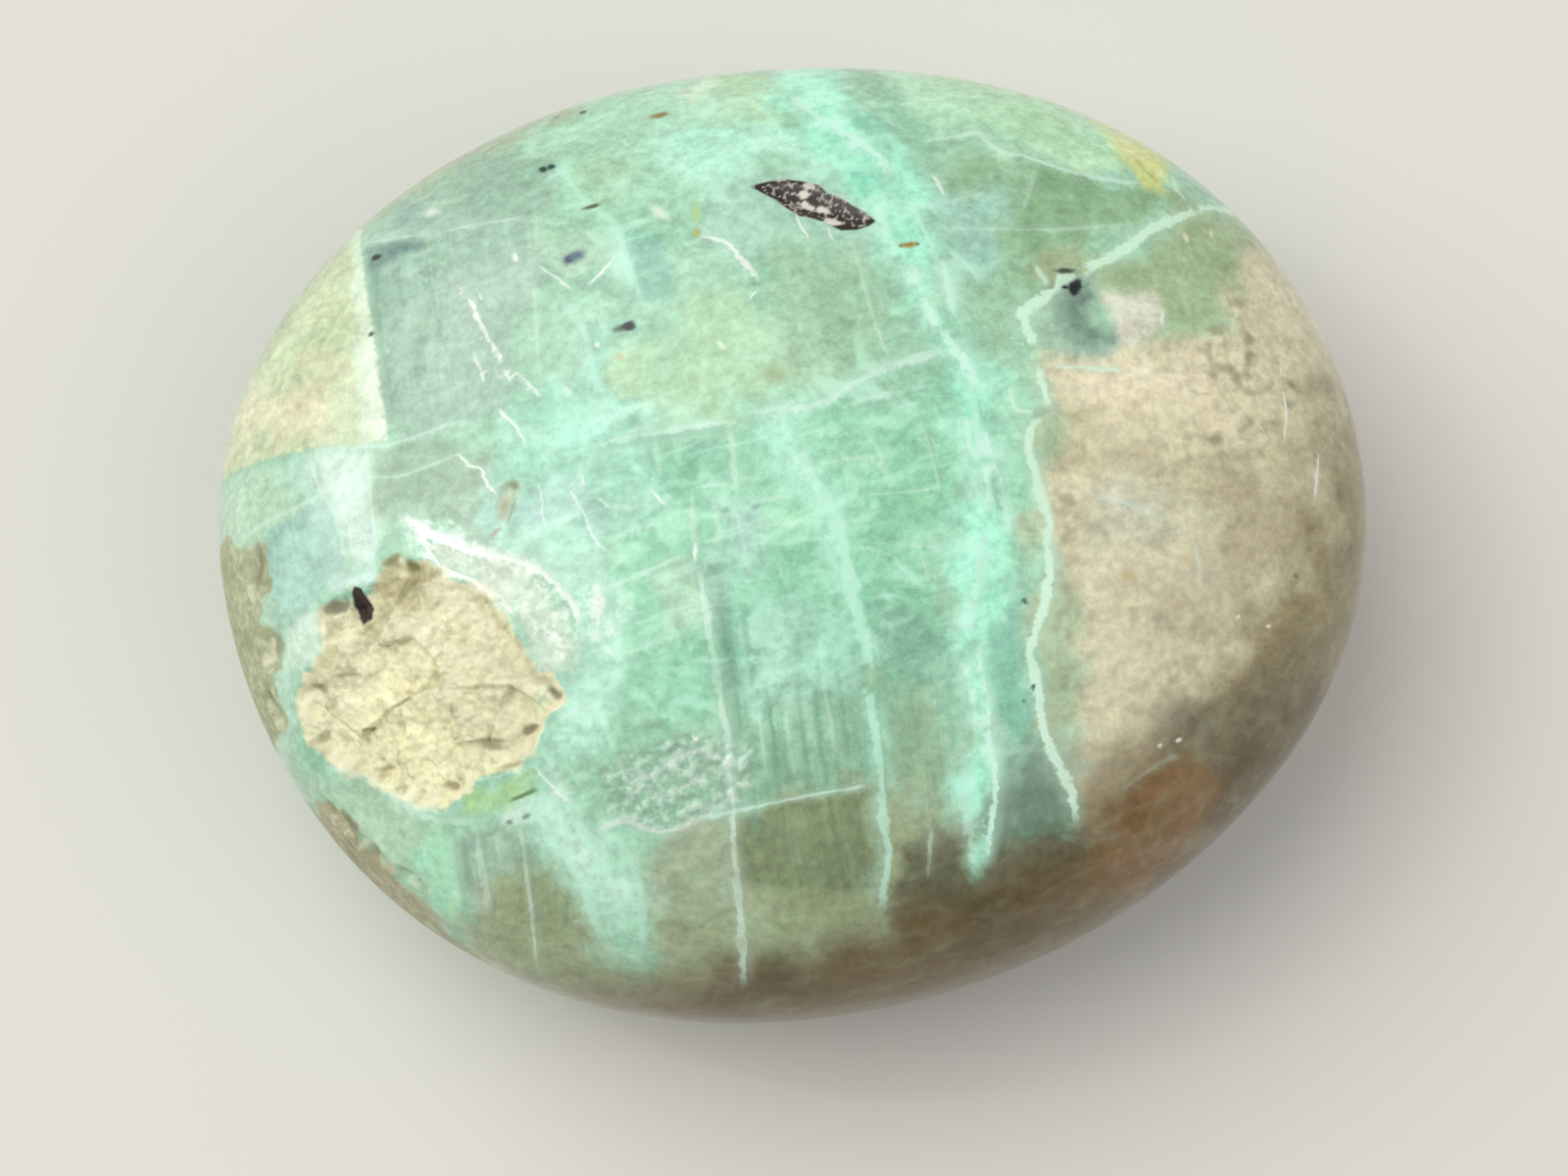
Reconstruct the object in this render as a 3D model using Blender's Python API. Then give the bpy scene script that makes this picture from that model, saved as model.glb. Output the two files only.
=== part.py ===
"""Palm stone of garnierite with moonstone: a tumbled oval pillow with a pocket of broken feldspar.

One solid. Metres, +Z up, X along the longest side. The origin is under the middle of the
bounding box, on the small flat that the stone rests on. Sizes and places below are in
millimetres, and places are measured from the pillow's own upright axis.
"""
import math

import bmesh
import bpy
from mathutils import Vector, noise

MM = 0.001

# The pillow: half its length and width at the widest line, the height of the face above
# that line, the depth of the back below it, and how much of the back is worn flat
HALF_LENGTH = 27.0
HALF_WIDTH = 22.8
FACE_HEIGHT = 11.3
BACK_DEPTH = 10.4
REST_CUT = 0.3

# Powers of the oval and of the section: 2 is an ellipse, and more fills out the shoulders
PLAN_POWER = 2.08
SECTION_POWER = 2.3

# Slow lumps of the hand-shaped outline: waves around it, cosine share, sine share
OUTLINE_LUMPS = ((3, 0.008, 0.009), (4, 0.0, -0.005), (6, 0.0, -0.003))

# Shallow waves that the polishing drum leaves
WAVE_LENGTH = 14.0
WAVE_HEIGHT = 0.10

# Pocket of broken feldspar grains that the polish never reached
POCKET_OUTLINE = (
    (-18.5, -1.5), (-17.8, -1.0), (-16.9, -1.7), (-15.8, -2.5), (-14.4, -3.2), (-13.1, -4.7),
    (-12.5, -6.0), (-12.1, -7.4), (-10.9, -8.7), (-11.7, -9.8), (-12.5, -10.8), (-13.1, -11.7),
    (-15.2, -11.8), (-16.9, -12.9), (-18.2, -12.5), (-19.6, -11.2), (-21.6, -9.9), (-23.2, -8.5),
    (-23.4, -6.4), (-22.3, -5.0), (-21.6, -4.6), (-21.5, -2.7), (-20.3, -2.5), (-19.2, -2.6),
)
POCKET_DEPTH = 0.55
POCKET_EDGE = 0.6
GRAIN_SIZE = 1.9
GRAIN_STEP = 0.45
GRAIN_TILT = 0.40

# Thin flake that has lifted between the pocket and the curved crack beside it
FLAKE_OUTLINE = (
    (-16.6, -0.6), (-14.2, -1.9), (-12.6, -2.4), (-11.2, -3.5), (-10.2, -5.2), (-10.4, -7.6),
    (-12.0, -7.2), (-12.5, -5.8), (-13.1, -4.6), (-14.4, -3.0), (-15.8, -2.2),
)
FLAKE_DEPTH = 0.16
FLAKE_EDGE = 0.4

# Hollows in the face: x, y, half length, half width, turn in degrees, depth
HOLLOWS = (
    (2.9, 12.8, 3.0, 0.9, -27.0, 0.40),       # weathered dark crystal
    (-19.9, -3.0, 0.9, 0.5, 95.0, 0.30),      # black grain beside the pocket
    (-12.5, 0.3, 1.4, 0.45, 66.0, 0.25),      # tan groove
    (14.3, 7.6, 1.0, 0.7, 20.0, 0.15),        # dark blot on the white vein
    (19.2, 13.7, 1.5, 0.8, -50.0, 0.25),      # chip in the yellow rim patch
    (-24.7, 0.2, 1.6, 0.7, 80.0, 0.35),       # unpolished pits along the left rim
    (-24.4, -4.2, 1.1, 0.6, 100.0, 0.30),
    (-24.6, -6.4, 1.3, 0.5, 110.0, 0.35),
    (-22.3, -11.6, 1.5, 0.6, 130.0, 0.40),
    (-20.8, -13.5, 1.6, 0.7, 135.0, 0.45),
    (-19.0, -15.1, 1.2, 0.5, 140.0, 0.35),
)

# Mesh: the ball that the pillow is swollen from, and how often its triangles are halved
# where the surface is broken
BALL_CUTS = 5
FINE_ROUNDS = 2
FINE_MARGIN = 0.5

# Edges that bend more than this stay crisp, which only the broken grains do
CRISP_ANGLE = 26.0


def clear_scene():
    for thing in list(bpy.data.objects):
        bpy.data.objects.remove(thing, do_unlink=True)


def ease(share):
    """Smooth step from 0 to 1."""
    share = min(max(share, 0.0), 1.0)
    return share * share * (3.0 - 2.0 * share)


def plan_radius(turn):
    """Distance from the upright axis to the widest line, in the direction of turn."""
    along = abs(math.cos(turn) / HALF_LENGTH) ** PLAN_POWER
    across = abs(math.sin(turn) / HALF_WIDTH) ** PLAN_POWER
    lumps = sum(c * math.cos(n * turn) + s * math.sin(n * turn) for n, c, s in OUTLINE_LUMPS)
    return (along + across) ** (-1.0 / PLAN_POWER) * (1.0 + lumps)


def swell(ball_point):
    """Point of the smooth pillow for a point of the unit ball."""
    x, y, z = ball_point
    level = math.hypot(x, y)
    grow = (level ** SECTION_POWER + abs(z) ** SECTION_POWER) ** (-1.0 / SECTION_POWER)
    reach = plan_radius(math.atan2(y, x)) * grow
    height = (FACE_HEIGHT if z > 0.0 else BACK_DEPTH) * grow
    return Vector((x * reach, y * reach, z * height))


def face_point(x, y):
    """Point of the smooth face straight above a place in the plan."""
    share = min(math.hypot(x, y) / plan_radius(math.atan2(y, x)), 1.0)
    return Vector((x, y, FACE_HEIGHT * (1.0 - share ** SECTION_POWER) ** (1.0 / SECTION_POWER)))


def depth_inside(x, y, outline):
    """Distance to a closed outline: more than 0 inside it, less than 0 outside."""
    nearest = math.inf
    inside = False
    for (ax, ay), (bx, by) in zip(outline, outline[1:] + outline[:1]):
        edge_x, edge_y = bx - ax, by - ay
        share = ((x - ax) * edge_x + (y - ay) * edge_y) / (edge_x ** 2 + edge_y ** 2)
        share = min(max(share, 0.0), 1.0)
        nearest = min(nearest, math.hypot(x - ax - share * edge_x, y - ay - share * edge_y))
        if (ay > y) != (by > y) and x < ax + (y - ay) / edge_y * edge_x:
            inside = not inside
    return nearest if inside else -nearest


def grain_height(x, y):
    """Height of the broken grains: one flat, tilted face for each grain."""
    column, row = math.floor(x / GRAIN_SIZE), math.floor(y / GRAIN_SIZE)
    nearest, height = math.inf, 0.0
    for i in (column - 1, column, column + 1):
        for j in (row - 1, row, row + 1):
            chance = noise.cell_vector(Vector((i + 0.5, j + 0.5, 0.5)))
            lean = noise.cell_vector(Vector((i + 0.5, j + 0.5, 7.5)))
            away_x = x - (i + chance.x) * GRAIN_SIZE
            away_y = y - (j + chance.y) * GRAIN_SIZE
            if math.hypot(away_x, away_y) < nearest:
                nearest = math.hypot(away_x, away_y)
                tilt = GRAIN_TILT * ((lean.x - 0.5) * away_x + (lean.y - 0.5) * away_y)
                height = GRAIN_STEP * (chance.z - 0.5) + tilt
    return height


def hollow_share(point, hollow):
    """How far a point is from the middle of a hollow, where 1 is the hollow's edge."""
    x, y, half_length, half_width, turn, _ = hollow
    away = point - face_point(x, y)
    along = away.dot(Vector((math.cos(math.radians(turn)), math.sin(math.radians(turn)), 0.0)))
    across = math.sqrt(max(away.length_squared - along ** 2, 0.0))
    return math.hypot(along / half_length, across / half_width)


def relief(point):
    """Height of the real surface over the smooth pillow."""
    height = WAVE_HEIGHT * noise.noise(point / WAVE_LENGTH)
    if point.z <= 0.0:
        return height
    inside = depth_inside(point.x, point.y, POCKET_OUTLINE)
    height += ease(inside / POCKET_EDGE) * (grain_height(point.x, point.y) - POCKET_DEPTH)
    height -= FLAKE_DEPTH * ease(depth_inside(point.x, point.y, FLAKE_OUTLINE) / FLAKE_EDGE)
    for hollow in HOLLOWS:
        share = hollow_share(point, hollow)
        if share < 1.0:
            height -= hollow[-1] * (1.0 - share ** 2) ** 2
    return height


def is_broken(point):
    """Whether the surface at a point needs small triangles."""
    if point.z <= 0.0:
        return False
    if depth_inside(point.x, point.y, POCKET_OUTLINE) > -FINE_MARGIN:
        return True
    if depth_inside(point.x, point.y, FLAKE_OUTLINE) > -FINE_MARGIN:
        return True
    return any(hollow_share(point, hollow) < 1.0 + FINE_MARGIN for hollow in HOLLOWS)


def fine_ball():
    """Unit ball of even triangles, with smaller ones where the stone is broken."""
    ball = bmesh.new()
    bmesh.ops.create_icosphere(ball, subdivisions=BALL_CUTS, radius=1.0)
    for _ in range(FINE_ROUNDS):
        broken = {vert for vert in ball.verts if is_broken(swell(vert.co))}
        edges = [edge for edge in ball.edges if broken.intersection(edge.verts)]
        bmesh.ops.subdivide_edges(ball, edges=edges, cuts=1)
        bmesh.ops.triangulate(ball, faces=ball.faces[:])
        for vert in ball.verts:
            vert.co.normalize()
    return ball


def shape_stone(ball):
    """Turn the unit ball into the stone, still in millimetres around its own axis."""
    for vert in ball.verts:
        vert.co = swell(vert.co)
    ball.normal_update()
    shift = {vert: vert.normal * relief(vert.co) for vert in ball.verts}
    for vert, step in shift.items():
        vert.co += step
    floor = REST_CUT - BACK_DEPTH
    for vert in ball.verts:
        vert.co.z = max(vert.co.z, floor)


def stand_on_origin(stone):
    """Move the box's bottom centre to the origin and turn millimetres into metres."""
    low = Vector(min(vert.co[axis] for vert in stone.verts) for axis in range(3))
    high = Vector(max(vert.co[axis] for vert in stone.verts) for axis in range(3))
    middle = (low + high) / 2.0
    foot = Vector((middle.x, middle.y, low.z))
    for vert in stone.verts:
        vert.co = (vert.co - foot) * MM


def stone_finish():
    """Polished green stone: smooth, with a soft gloss."""
    finish = bpy.data.materials.new("polished_garnierite")
    finish.use_nodes = True
    shader = finish.node_tree.nodes["Principled BSDF"]
    shader.inputs["Base Color"].default_value = (0.46, 0.66, 0.50, 1.0)
    shader.inputs["Roughness"].default_value = 0.22
    shader.inputs["Metallic"].default_value = 0.0
    shader.inputs["IOR"].default_value = 1.55
    return finish


def build():
    clear_scene()
    stone = fine_ball()
    shape_stone(stone)
    stand_on_origin(stone)
    mesh = bpy.data.meshes.new("palm_stone")
    stone.to_mesh(mesh)
    stone.free()
    mesh.shade_smooth()
    mesh.set_sharp_from_angle(angle=math.radians(CRISP_ANGLE))
    mesh.materials.append(stone_finish())
    bpy.context.scene.collection.objects.link(bpy.data.objects.new("palm_stone", mesh))


build()
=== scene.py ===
import math

import bmesh
import bpy
import numpy as np
from mathutils import Matrix, Vector, noise


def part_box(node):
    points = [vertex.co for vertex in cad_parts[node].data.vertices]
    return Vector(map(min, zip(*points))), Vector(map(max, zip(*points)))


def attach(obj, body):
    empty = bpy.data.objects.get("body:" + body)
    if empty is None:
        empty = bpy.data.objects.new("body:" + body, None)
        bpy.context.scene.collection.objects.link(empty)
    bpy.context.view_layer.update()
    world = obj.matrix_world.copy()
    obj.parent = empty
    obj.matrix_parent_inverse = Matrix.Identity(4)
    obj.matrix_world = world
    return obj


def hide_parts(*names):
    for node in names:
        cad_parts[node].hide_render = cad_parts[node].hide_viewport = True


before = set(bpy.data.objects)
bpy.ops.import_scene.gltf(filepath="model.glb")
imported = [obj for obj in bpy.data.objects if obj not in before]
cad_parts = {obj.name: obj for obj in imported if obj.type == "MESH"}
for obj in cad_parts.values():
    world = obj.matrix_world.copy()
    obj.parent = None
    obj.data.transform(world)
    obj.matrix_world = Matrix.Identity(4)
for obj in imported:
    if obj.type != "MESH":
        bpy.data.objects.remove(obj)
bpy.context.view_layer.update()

MM = 0.001
NOISE_SEED = 7
NODE = "palm_stone"
LOW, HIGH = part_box(NODE)

# The pillow, from the frame: the face stands a little higher over the widest line than
# the back hangs below it
HALF_LENGTH = (HIGH.x - LOW.x) / MM / 2.0
HALF_WIDTH = (HIGH.y - LOW.y) / MM / 2.0
HEIGHT = (HIGH.z - LOW.z) / MM
REST_CUT = 0.3
FACE_SHARE = 0.528
FACE_HEIGHT = FACE_SHARE * HEIGHT
BACK_DEPTH = HEIGHT + REST_CUT - FACE_HEIGHT
PLAN_POWER = 2.08
SECTION_POWER = 2.3
OUTLINE_LUMPS = ((3, 0.008, 0.009), (4, 0.0, -0.005), (6, 0.0, -0.003))
WAVE_LENGTH = 14.0
WAVE_HEIGHT = 0.10

# Mesh: cuts in each edge of the cube that the pillow is swollen from, cuts in each square's
# edge over the face, cuts once more where the surface is broken or speckled, and how far
# around those places
CUBE_CUTS = 63
FACE_CUTS = 1
FINE_CUTS = 2
FINE_MARGIN = 0.3

# Pocket of broken feldspar grains that the polish never reached
POCKET = (
    (-18.5, -1.5), (-17.8, -1.0), (-16.9, -1.7), (-15.8, -2.5), (-14.4, -3.2), (-13.1, -4.7),
    (-12.5, -6.0), (-12.1, -7.4), (-10.9, -8.7), (-11.7, -9.8), (-12.5, -10.8), (-13.1, -11.7),
    (-15.2, -11.8), (-16.9, -12.9), (-18.2, -12.5), (-19.6, -11.2), (-21.6, -9.9), (-23.2, -8.5),
    (-23.4, -6.4), (-22.3, -5.0), (-21.6, -4.6), (-21.5, -2.7), (-20.3, -2.5), (-19.2, -2.6),
)
POCKET_DEPTH = 0.55
POCKET_EDGE = 0.6

# Grains in the pocket: size, step between them, tilt, and which set of seeds. The edges of
# broken places crumble, and those of the small grains a little less: size, reach. Grit and
# stains lie over them.
BIG_GRAINS = (1.9, 0.40, 0.44, 0.5)
SMALL_GRAINS = (0.62, 0.12, 0.40, 3.5)
CRUMBLE = (0.7, 0.3)
GRAIN_CRUMBLE = (0.5, 0.2)
GRIT_SIZE = 0.30
GRIT_HEIGHT = 0.10
STAIN_SIZE = 1.3

# Thin flake that has lifted between the pocket and the curved crack beside it
FLAKE = (
    (-16.6, -0.6), (-14.2, -1.9), (-12.6, -2.4), (-11.2, -3.5), (-10.2, -5.2), (-10.4, -7.6),
    (-12.0, -7.2), (-12.5, -5.8), (-13.1, -4.6), (-14.4, -3.0), (-15.8, -2.2),
)
FLAKE_DEPTH = 0.12
FLAKE_EDGE = 0.9

# Crumpled patch: how soft its edge is, the size of its lumps, how far they stand up, and
# the share of that which is level with the polish
CRUMPLED = (
    (-9.8, -12.4), (-8.6, -11.7), (-7.0, -11.4), (-5.2, -11.2), (-3.4, -12.0), (-2.7, -13.6),
    (-4.0, -14.8), (-6.0, -15.1), (-7.6, -15.3), (-9.6, -14.2),
)
CRUMPLED_EDGE = 0.7
LUMP_SIZE = 0.45
LUMP_HEIGHT = 0.10
LUMP_LEVEL = 0.7

# Hollows in the face: x, y, half length, half width, turn in degrees, depth
HOLLOWS = (
    (2.9, 12.8, 3.0, 0.9, -27.0, 0.40),       # weathered dark crystal
    (-19.9, -3.0, 0.9, 0.5, 95.0, 0.30),      # black grain beside the pocket
    (-12.5, 0.3, 1.4, 0.45, 66.0, 0.25),      # tan groove
    (14.3, 7.6, 1.0, 0.7, 20.0, 0.15),        # dark blot on the white vein
    (19.2, 13.7, 1.5, 0.8, -50.0, 0.25),      # chip in the yellow rim patch
    (-24.7, 0.2, 1.6, 0.7, 80.0, 0.35),       # unpolished pits along the left rim
    (-24.4, -4.2, 1.1, 0.6, 100.0, 0.30),
    (-24.6, -6.4, 1.3, 0.5, 110.0, 0.35),
    (-22.3, -11.6, 1.5, 0.6, 130.0, 0.40),
    (-20.8, -13.5, 1.6, 0.7, 135.0, 0.45),
    (-19.0, -15.1, 1.2, 0.5, 140.0, 0.35),
)

# Below the widest line the zones go on through the stone: how far they slant and bend for
# each millimetre of depth, the size of the bends, and how fast a skin-deep zone fades
SLANT = (0.55, -0.35)
SLANT_BEND = 0.55
SLANT_BEND_SIZE = 9.0
SKIN_FADE = 2.0

# Each zone drifts between its two colours in clouds of one size, and its edge wanders in
# curls of another. The polish fades out over the soft edge of a broken place.
DRIFT_SIZE = 5.0
WANDER_SIZE = 2.4
WANDER_REACH = 1.2
RAW_EDGE = 0.3

# Growth zones of the stone, with painted light and shade laid over some of them, in the order that
# they lie over each other: name, main colour, other colour, softness of the edge, raggedness of the
# edge, where it lies, outline.
# "through" goes right through to the back and "skin" fades below the widest line, while
# "inset" parts have a crisp edge of their own and "in_inset" ones lie on those alone.
GROUND = ("A4D2B4", "95C8AA")
ZONES = (
    ("grey_moonstone", "9CBEA7", "ABCCB6", 0.8, 1.0, "through", (
        (-18.6, 17.5), (-17.6, 4.3), (-14.8, 4.2), (-12.6, 5.0), (-11.0, 8.0), (-9.8, 11.0),
        (-9.2, 14.0), (-8.6, 16.4), (-7.0, 18.0), (-6.0, 26.0), (-12.0, 26.0),
        (-20.0, 20.0))),
    ("top_mint", "A6D6B6", "B4E2C6", 1.0, 1.2, "through", (
        (-11.5, 26.0), (-10.5, 18.4), (-8.4, 16.6), (-6.4, 11.0), (-5.0, 8.0), (-1.0, 10.5),
        (0.6, 13.0), (1.6, 17.0), (2.0, 26.0))),
    ("crystal_side", "AFD8C2", "A4CFB6", 0.8, 0.8, "skin", (
        (-3.0, 10.8), (-1.6, 14.6), (3.4, 15.0), (6.0, 12.6), (6.2, 10.0), (2.0, 9.6))),
    ("top_glow", "C4F6DE", "B6ECD2", 0.5, 1.0, "skin", (
        (-3.6, 17.0), (-1.6, 17.9), (1.4, 17.4), (3.0, 16.4), (3.6, 15.0), (1.0, 15.6),
        (-1.6, 15.0), (-3.2, 15.6))),
    ("top_green", "AFD9AF", "B9E2BC", 0.6, 0.8, "skin", (
        (-1.2, 18.2), (2.0, 18.0), (1.9, 19.6), (1.0, 24.0), (-1.4, 24.0))),
    ("green_window", "A2CCAC", "AED6B8", 0.5, 0.8, "skin", (
        (-9.6, 13.8), (-7.6, 13.9), (-6.6, 12.6), (-7.0, 11.0), (-8.6, 10.6), (-9.7, 11.6))),
    ("green_window_above", "A6D0AC", "B0D8B6", 0.4, 0.6, "skin", (
        (-8.0, 16.6), (-6.6, 16.8), (-5.2, 16.4), (-5.2, 14.8), (-6.4, 14.2), (-7.4, 15.2))),
    ("teal_patch_high", "8CC4AE", "9CD0BA", 0.35, 0.9, "skin", (
        (-6.1, 12.9), (-5.0, 12.8), (-4.0, 11.9), (-4.6, 11.0), (-5.7, 11.3))),
    ("teal_patch_low", "8AC2AC", "98CEB8", 0.35, 0.9, "skin", (
        (-5.6, 10.7), (-4.2, 10.5), (-3.6, 9.4), (-4.4, 8.4), (-5.6, 8.8))),
    ("upper_left_rim", "9AB48E", "A6BF9C", 0.9, 0.6, "skin", (
        (-22.0, 13.9), (-19.0, 15.7), (-16.4, 16.9), (-13.6, 18.0), (-10.6, 19.1), (-8.0, 20.2),
        (-6.0, 26.0), (-26.0, 26.0))),
    ("blue_shade", "6F9186", "7E9E94", 0.25, 0.3, "skin", (
        (-18.2, 14.7), (-17.0, 14.7), (-15.2, 14.4), (-15.2, 13.6), (-16.5, 13.5),
        (-18.1, 13.1))),
    ("blue_corner", "92B4A9", "A0C0B4", 0.4, 0.5, "skin", (
        (-16.4, 17.0), (-15.3, 16.8), (-14.9, 16.0), (-14.8, 15.0), (-16.9, 15.0),
        (-17.9, 15.8), (-16.9, 16.0))),
    ("left_mint", "BBDDC0", "B3D8C2", 0.5, 0.6, "through", (
        (-30.0, 5.0), (-21.2, 4.6), (-17.8, 4.2), (-18.6, -1.2), (-19.8, -2.0), (-21.6, -2.5),
        (-21.6, -4.7), (-23.0, -5.3), (-24.0, -9.0), (-30.0, -9.0))),
    ("left_blue", "A2CCBC", "B2D8CA", 0.3, 0.4, "skin", (
        (-24.0, 1.6), (-21.2, 2.2), (-20.4, 0.6), (-19.9, -1.6), (-21.5, -2.3), (-23.5, -2.4),
        (-24.2, -0.5))),
    ("left_pale", "C8E4D4", "D2ECDC", 0.2, 0.3, "skin", (
        (-20.8, 4.2), (-18.8, 4.2), (-18.7, -1.2), (-19.8, -1.4), (-20.0, 0.5), (-20.6, 2.3))),
    ("shore_white", "DDF5F0", "D0F0E6", 0.4, 0.4, "skin", (
        (-21.3, -2.3), (-20.8, -1.3), (-19.6, -1.7), (-18.7, -1.2), (-18.9, -2.3),
        (-20.3, -2.4))),
    ("left_square", "CBE5D0", "D4EAD8", 0.15, 0.3, "skin", (
        (-23.4, -3.2), (-21.7, -3.0), (-21.6, -4.8), (-22.9, -5.3), (-23.6, -4.6))),
    ("inner_grey", "98B89E", "A6C6AC", 0.5, 0.7, "skin", (
        (-18.2, 3.9), (-14.8, 4.1), (-13.6, 3.0), (-12.4, 2.0), (-12.6, -0.6), (-14.2, -1.0),
        (-16.8, 0.8), (-18.2, 1.2))),
    ("middle_green", "9AD9B5", "8FD0AB", 0.9, 1.0, "through", (
        (-8.6, 1.9), (-5.0, 2.4), (-1.2, 2.5), (7.6, 2.9), (7.9, 0.0), (7.2, -3.0),
        (6.4, -5.4), (6.6, -9.0), (3.2, -10.6), (-4.0, -10.6), (-8.8, -10.0), (-8.6, -5.0),
        (-8.0, -2.0), (-6.8, -0.4))),
    ("centre_glow", "A6DEC4", "9AD3B9", 0.7, 1.2, "skin", (
        (-12.6, 1.6), (-12.2, 3.4), (-10.8, 4.4), (-8.6, 5.6), (-7.4, 8.6), (-6.8, 7.0),
        (-7.0, 4.6), (-5.0, 4.8), (-5.6, 3.2), (-5.8, 1.0), (-5.8, -0.6), (-8.0, -1.6),
        (-10.4, -0.6), (-11.6, 0.2))),
    ("centre_mint", "C4FFE6", "B2F6D8", 0.4, 0.8, "skin", (
        (-10.9, 2.3), (-10.2, 3.6), (-8.6, 3.9), (-6.8, 3.9), (-5.2, 4.2), (-4.0, 4.9),
        (-4.2, 4.3), (-5.0, 3.8), (-6.8, 3.4), (-6.9, 2.5), (-8.4, 2.2), (-9.8, 1.9))),
    ("teal_corner", "88C8AC", "94D0B6", 0.2, 0.4, "skin", (
        (-6.95, 3.4), (-6.0, 3.5), (-6.0, 2.6), (-6.9, 2.55))),
    ("teal_step", "8FCCB0", "9AD6BA", 0.25, 0.5, "skin", (
        (-6.7, 5.0), (-5.0, 4.9), (-5.0, 4.3), (-6.6, 4.1))),
    ("web", "BCE6DA", "A2D0C0", 0.5, 1.2, "skin", (
        (-12.2, 0.4), (-11.0, 1.3), (-9.4, 1.1), (-8.2, 0.4), (-7.6, -0.6), (-8.4, -2.4),
        (-8.8, -4.0), (-10.2, -3.4), (-11.6, -2.2), (-12.8, -1.0))),
    ("arc_mint", "BDECD4", "ACE0C6", 0.7, 1.0, "skin", (
        (-12.6, -1.2), (-9.6, -1.0), (-8.6, -3.0), (-7.6, -5.6), (-8.0, -9.6), (-10.4, -11.4),
        (-12.4, -11.8), (-10.6, -9.0), (-9.8, -6.4), (-10.6, -4.0))),
    ("deep_square", "70B08C", "7CBA98", 0.5, 0.8, "skin", (
        (-4.9, 2.0), (-2.4, 2.1), (-2.4, -0.2), (-4.9, -0.3))),
    ("green_glow", "A2E0B6", "ABE6C0", 0.4, 0.6, "skin", (
        (-1.6, -1.4), (1.2, -1.4), (1.6, -3.2), (-1.0, -3.4))),
    ("flake_pale", "D4E6CC", "C6DEC8", 0.6, 0.8, "skin", FLAKE),
    ("triangle", "9AC6A4", "A6D0B0", 0.2, 0.3, "skin", (
        (-6.6, -3.9), (-4.4, -3.6), (-4.3, -6.4), (-5.9, -6.9), (-6.2, -5.2))),
    ("hatched", "B2E2CC", "A0D2BC", 0.4, 0.7, "skin", (
        (-3.5, -1.0), (-1.2, -0.9), (-0.7, -3.0), (-1.2, -4.8), (-2.4, -4.6), (-3.4, -2.6))),
    ("beside_line", "79AB91", "84B69C", 0.2, 0.3, "skin", (
        (-4.2, -3.9), (-3.2, -4.0), (-2.8, -6.0), (-2.8, -9.0), (-2.8, -12.0), (-3.8, -12.4),
        (-3.9, -8.0), (-4.15, -5.0))),
    ("yellow_green", "A9D1A7", "AFD9B1", 1.3, 1.8, "skin", (
        (-5.6, 6.6), (-4.0, 8.4), (-2.2, 9.2), (-0.6, 9.0), (0.2, 7.6), (0.4, 6.0), (0.6, 4.6),
        (0.0, 3.4), (-2.0, 2.8), (-4.3, 2.9), (-4.7, 4.4), (-6.6, 5.4))),
    ("yellow_stain", "B4DAAC", "B8DDB6", 0.9, 1.0, "skin", (
        (-7.0, 6.8), (-6.2, 7.0), (-5.0, 6.2), (-5.2, 5.1), (-6.9, 5.2))),
    ("grey_green", "A0C6A2", "ABD2AE", 1.0, 1.3, "skin", (
        (0.6, 10.0), (4.4, 10.3), (5.0, 7.5), (5.4, 4.9), (3.6, 4.2), (1.4, 4.1), (0.9, 6.0),
        (1.0, 8.5))),
    ("right_of_seam", "96D4AE", "A2DCB8", 0.6, 0.8, "skin", (
        (1.6, 2.2), (7.4, 2.6), (7.6, 0.0), (6.8, -3.0), (6.2, -4.2), (2.9, -4.0),
        (2.5, -2.6), (1.6, -0.6))),
    ("dark_teal", "84B89A", "90C2A6", 0.4, 0.8, "skin", (
        (3.2, -6.6), (5.8, -6.9), (6.3, -8.6), (5.8, -10.2), (3.3, -10.2))),
    ("lower_grey", "98C6A6", "8CBA9A", 0.6, 0.8, "through", (
        (-3.9, -9.6), (2.4, -9.6), (2.4, -14.6), (-3.9, -14.8))),
    ("fog", "B4E4CC", "A6D8BE", 0.9, 1.4, "skin", (
        (-3.2, -6.6), (-1.8, -5.2), (0.0, -6.4), (1.8, -7.8), (1.2, -10.0),
        (-2.4, -10.6), (-3.2, -9.0))),
    ("seam_haze", "B6EFD4", "A6E2C4", 0.8, 0.9, "skin", (
        (-1.2, 3.0), (0.9, 3.0), (1.0, 1.0), (1.4, -0.4), (2.0, -1.8), (2.3, -4.0),
        (1.7, -3.4), (1.1, -1.8), (0.2, -1.2), (-0.4, 0.4))),
    ("sage", "9AC19A", "A9D5B5", 0.8, 0.9, "through", (
        (8.8, 15.3), (11.0, 15.5), (12.0, 14.6), (13.5, 14.4), (14.6, 13.7), (16.0, 13.1),
        (17.8, 12.9), (19.6, 12.4), (20.6, 11.6), (18.2, 10.6), (15.6, 8.8), (12.8, 7.4),
        (11.8, 6.2), (11.9, 3.5), (9.8, 3.3), (9.2, 5.5), (8.8, 9.5), (8.6, 12.0))),
    ("sage_dark", "88B086", "98BE96", 0.5, 0.9, "skin", (
        (13.2, 13.9), (13.8, 14.1), (15.4, 13.3), (17.0, 12.9), (19.4, 12.5), (18.0, 11.0),
        (14.0, 9.6), (12.6, 9.4), (12.0, 11.4), (12.8, 12.4))),
    ("sage_blue", "A6D4C0", "9CCAB4", 0.8, 0.9, "skin", (
        (7.8, 12.6), (11.4, 12.4), (11.0, 9.0), (10.0, 7.0), (9.2, 7.4), (9.0, 10.0))),
    ("light_sage", "B3E0B4", "BCE9C6", 0.6, 0.8, "through", (
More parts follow.
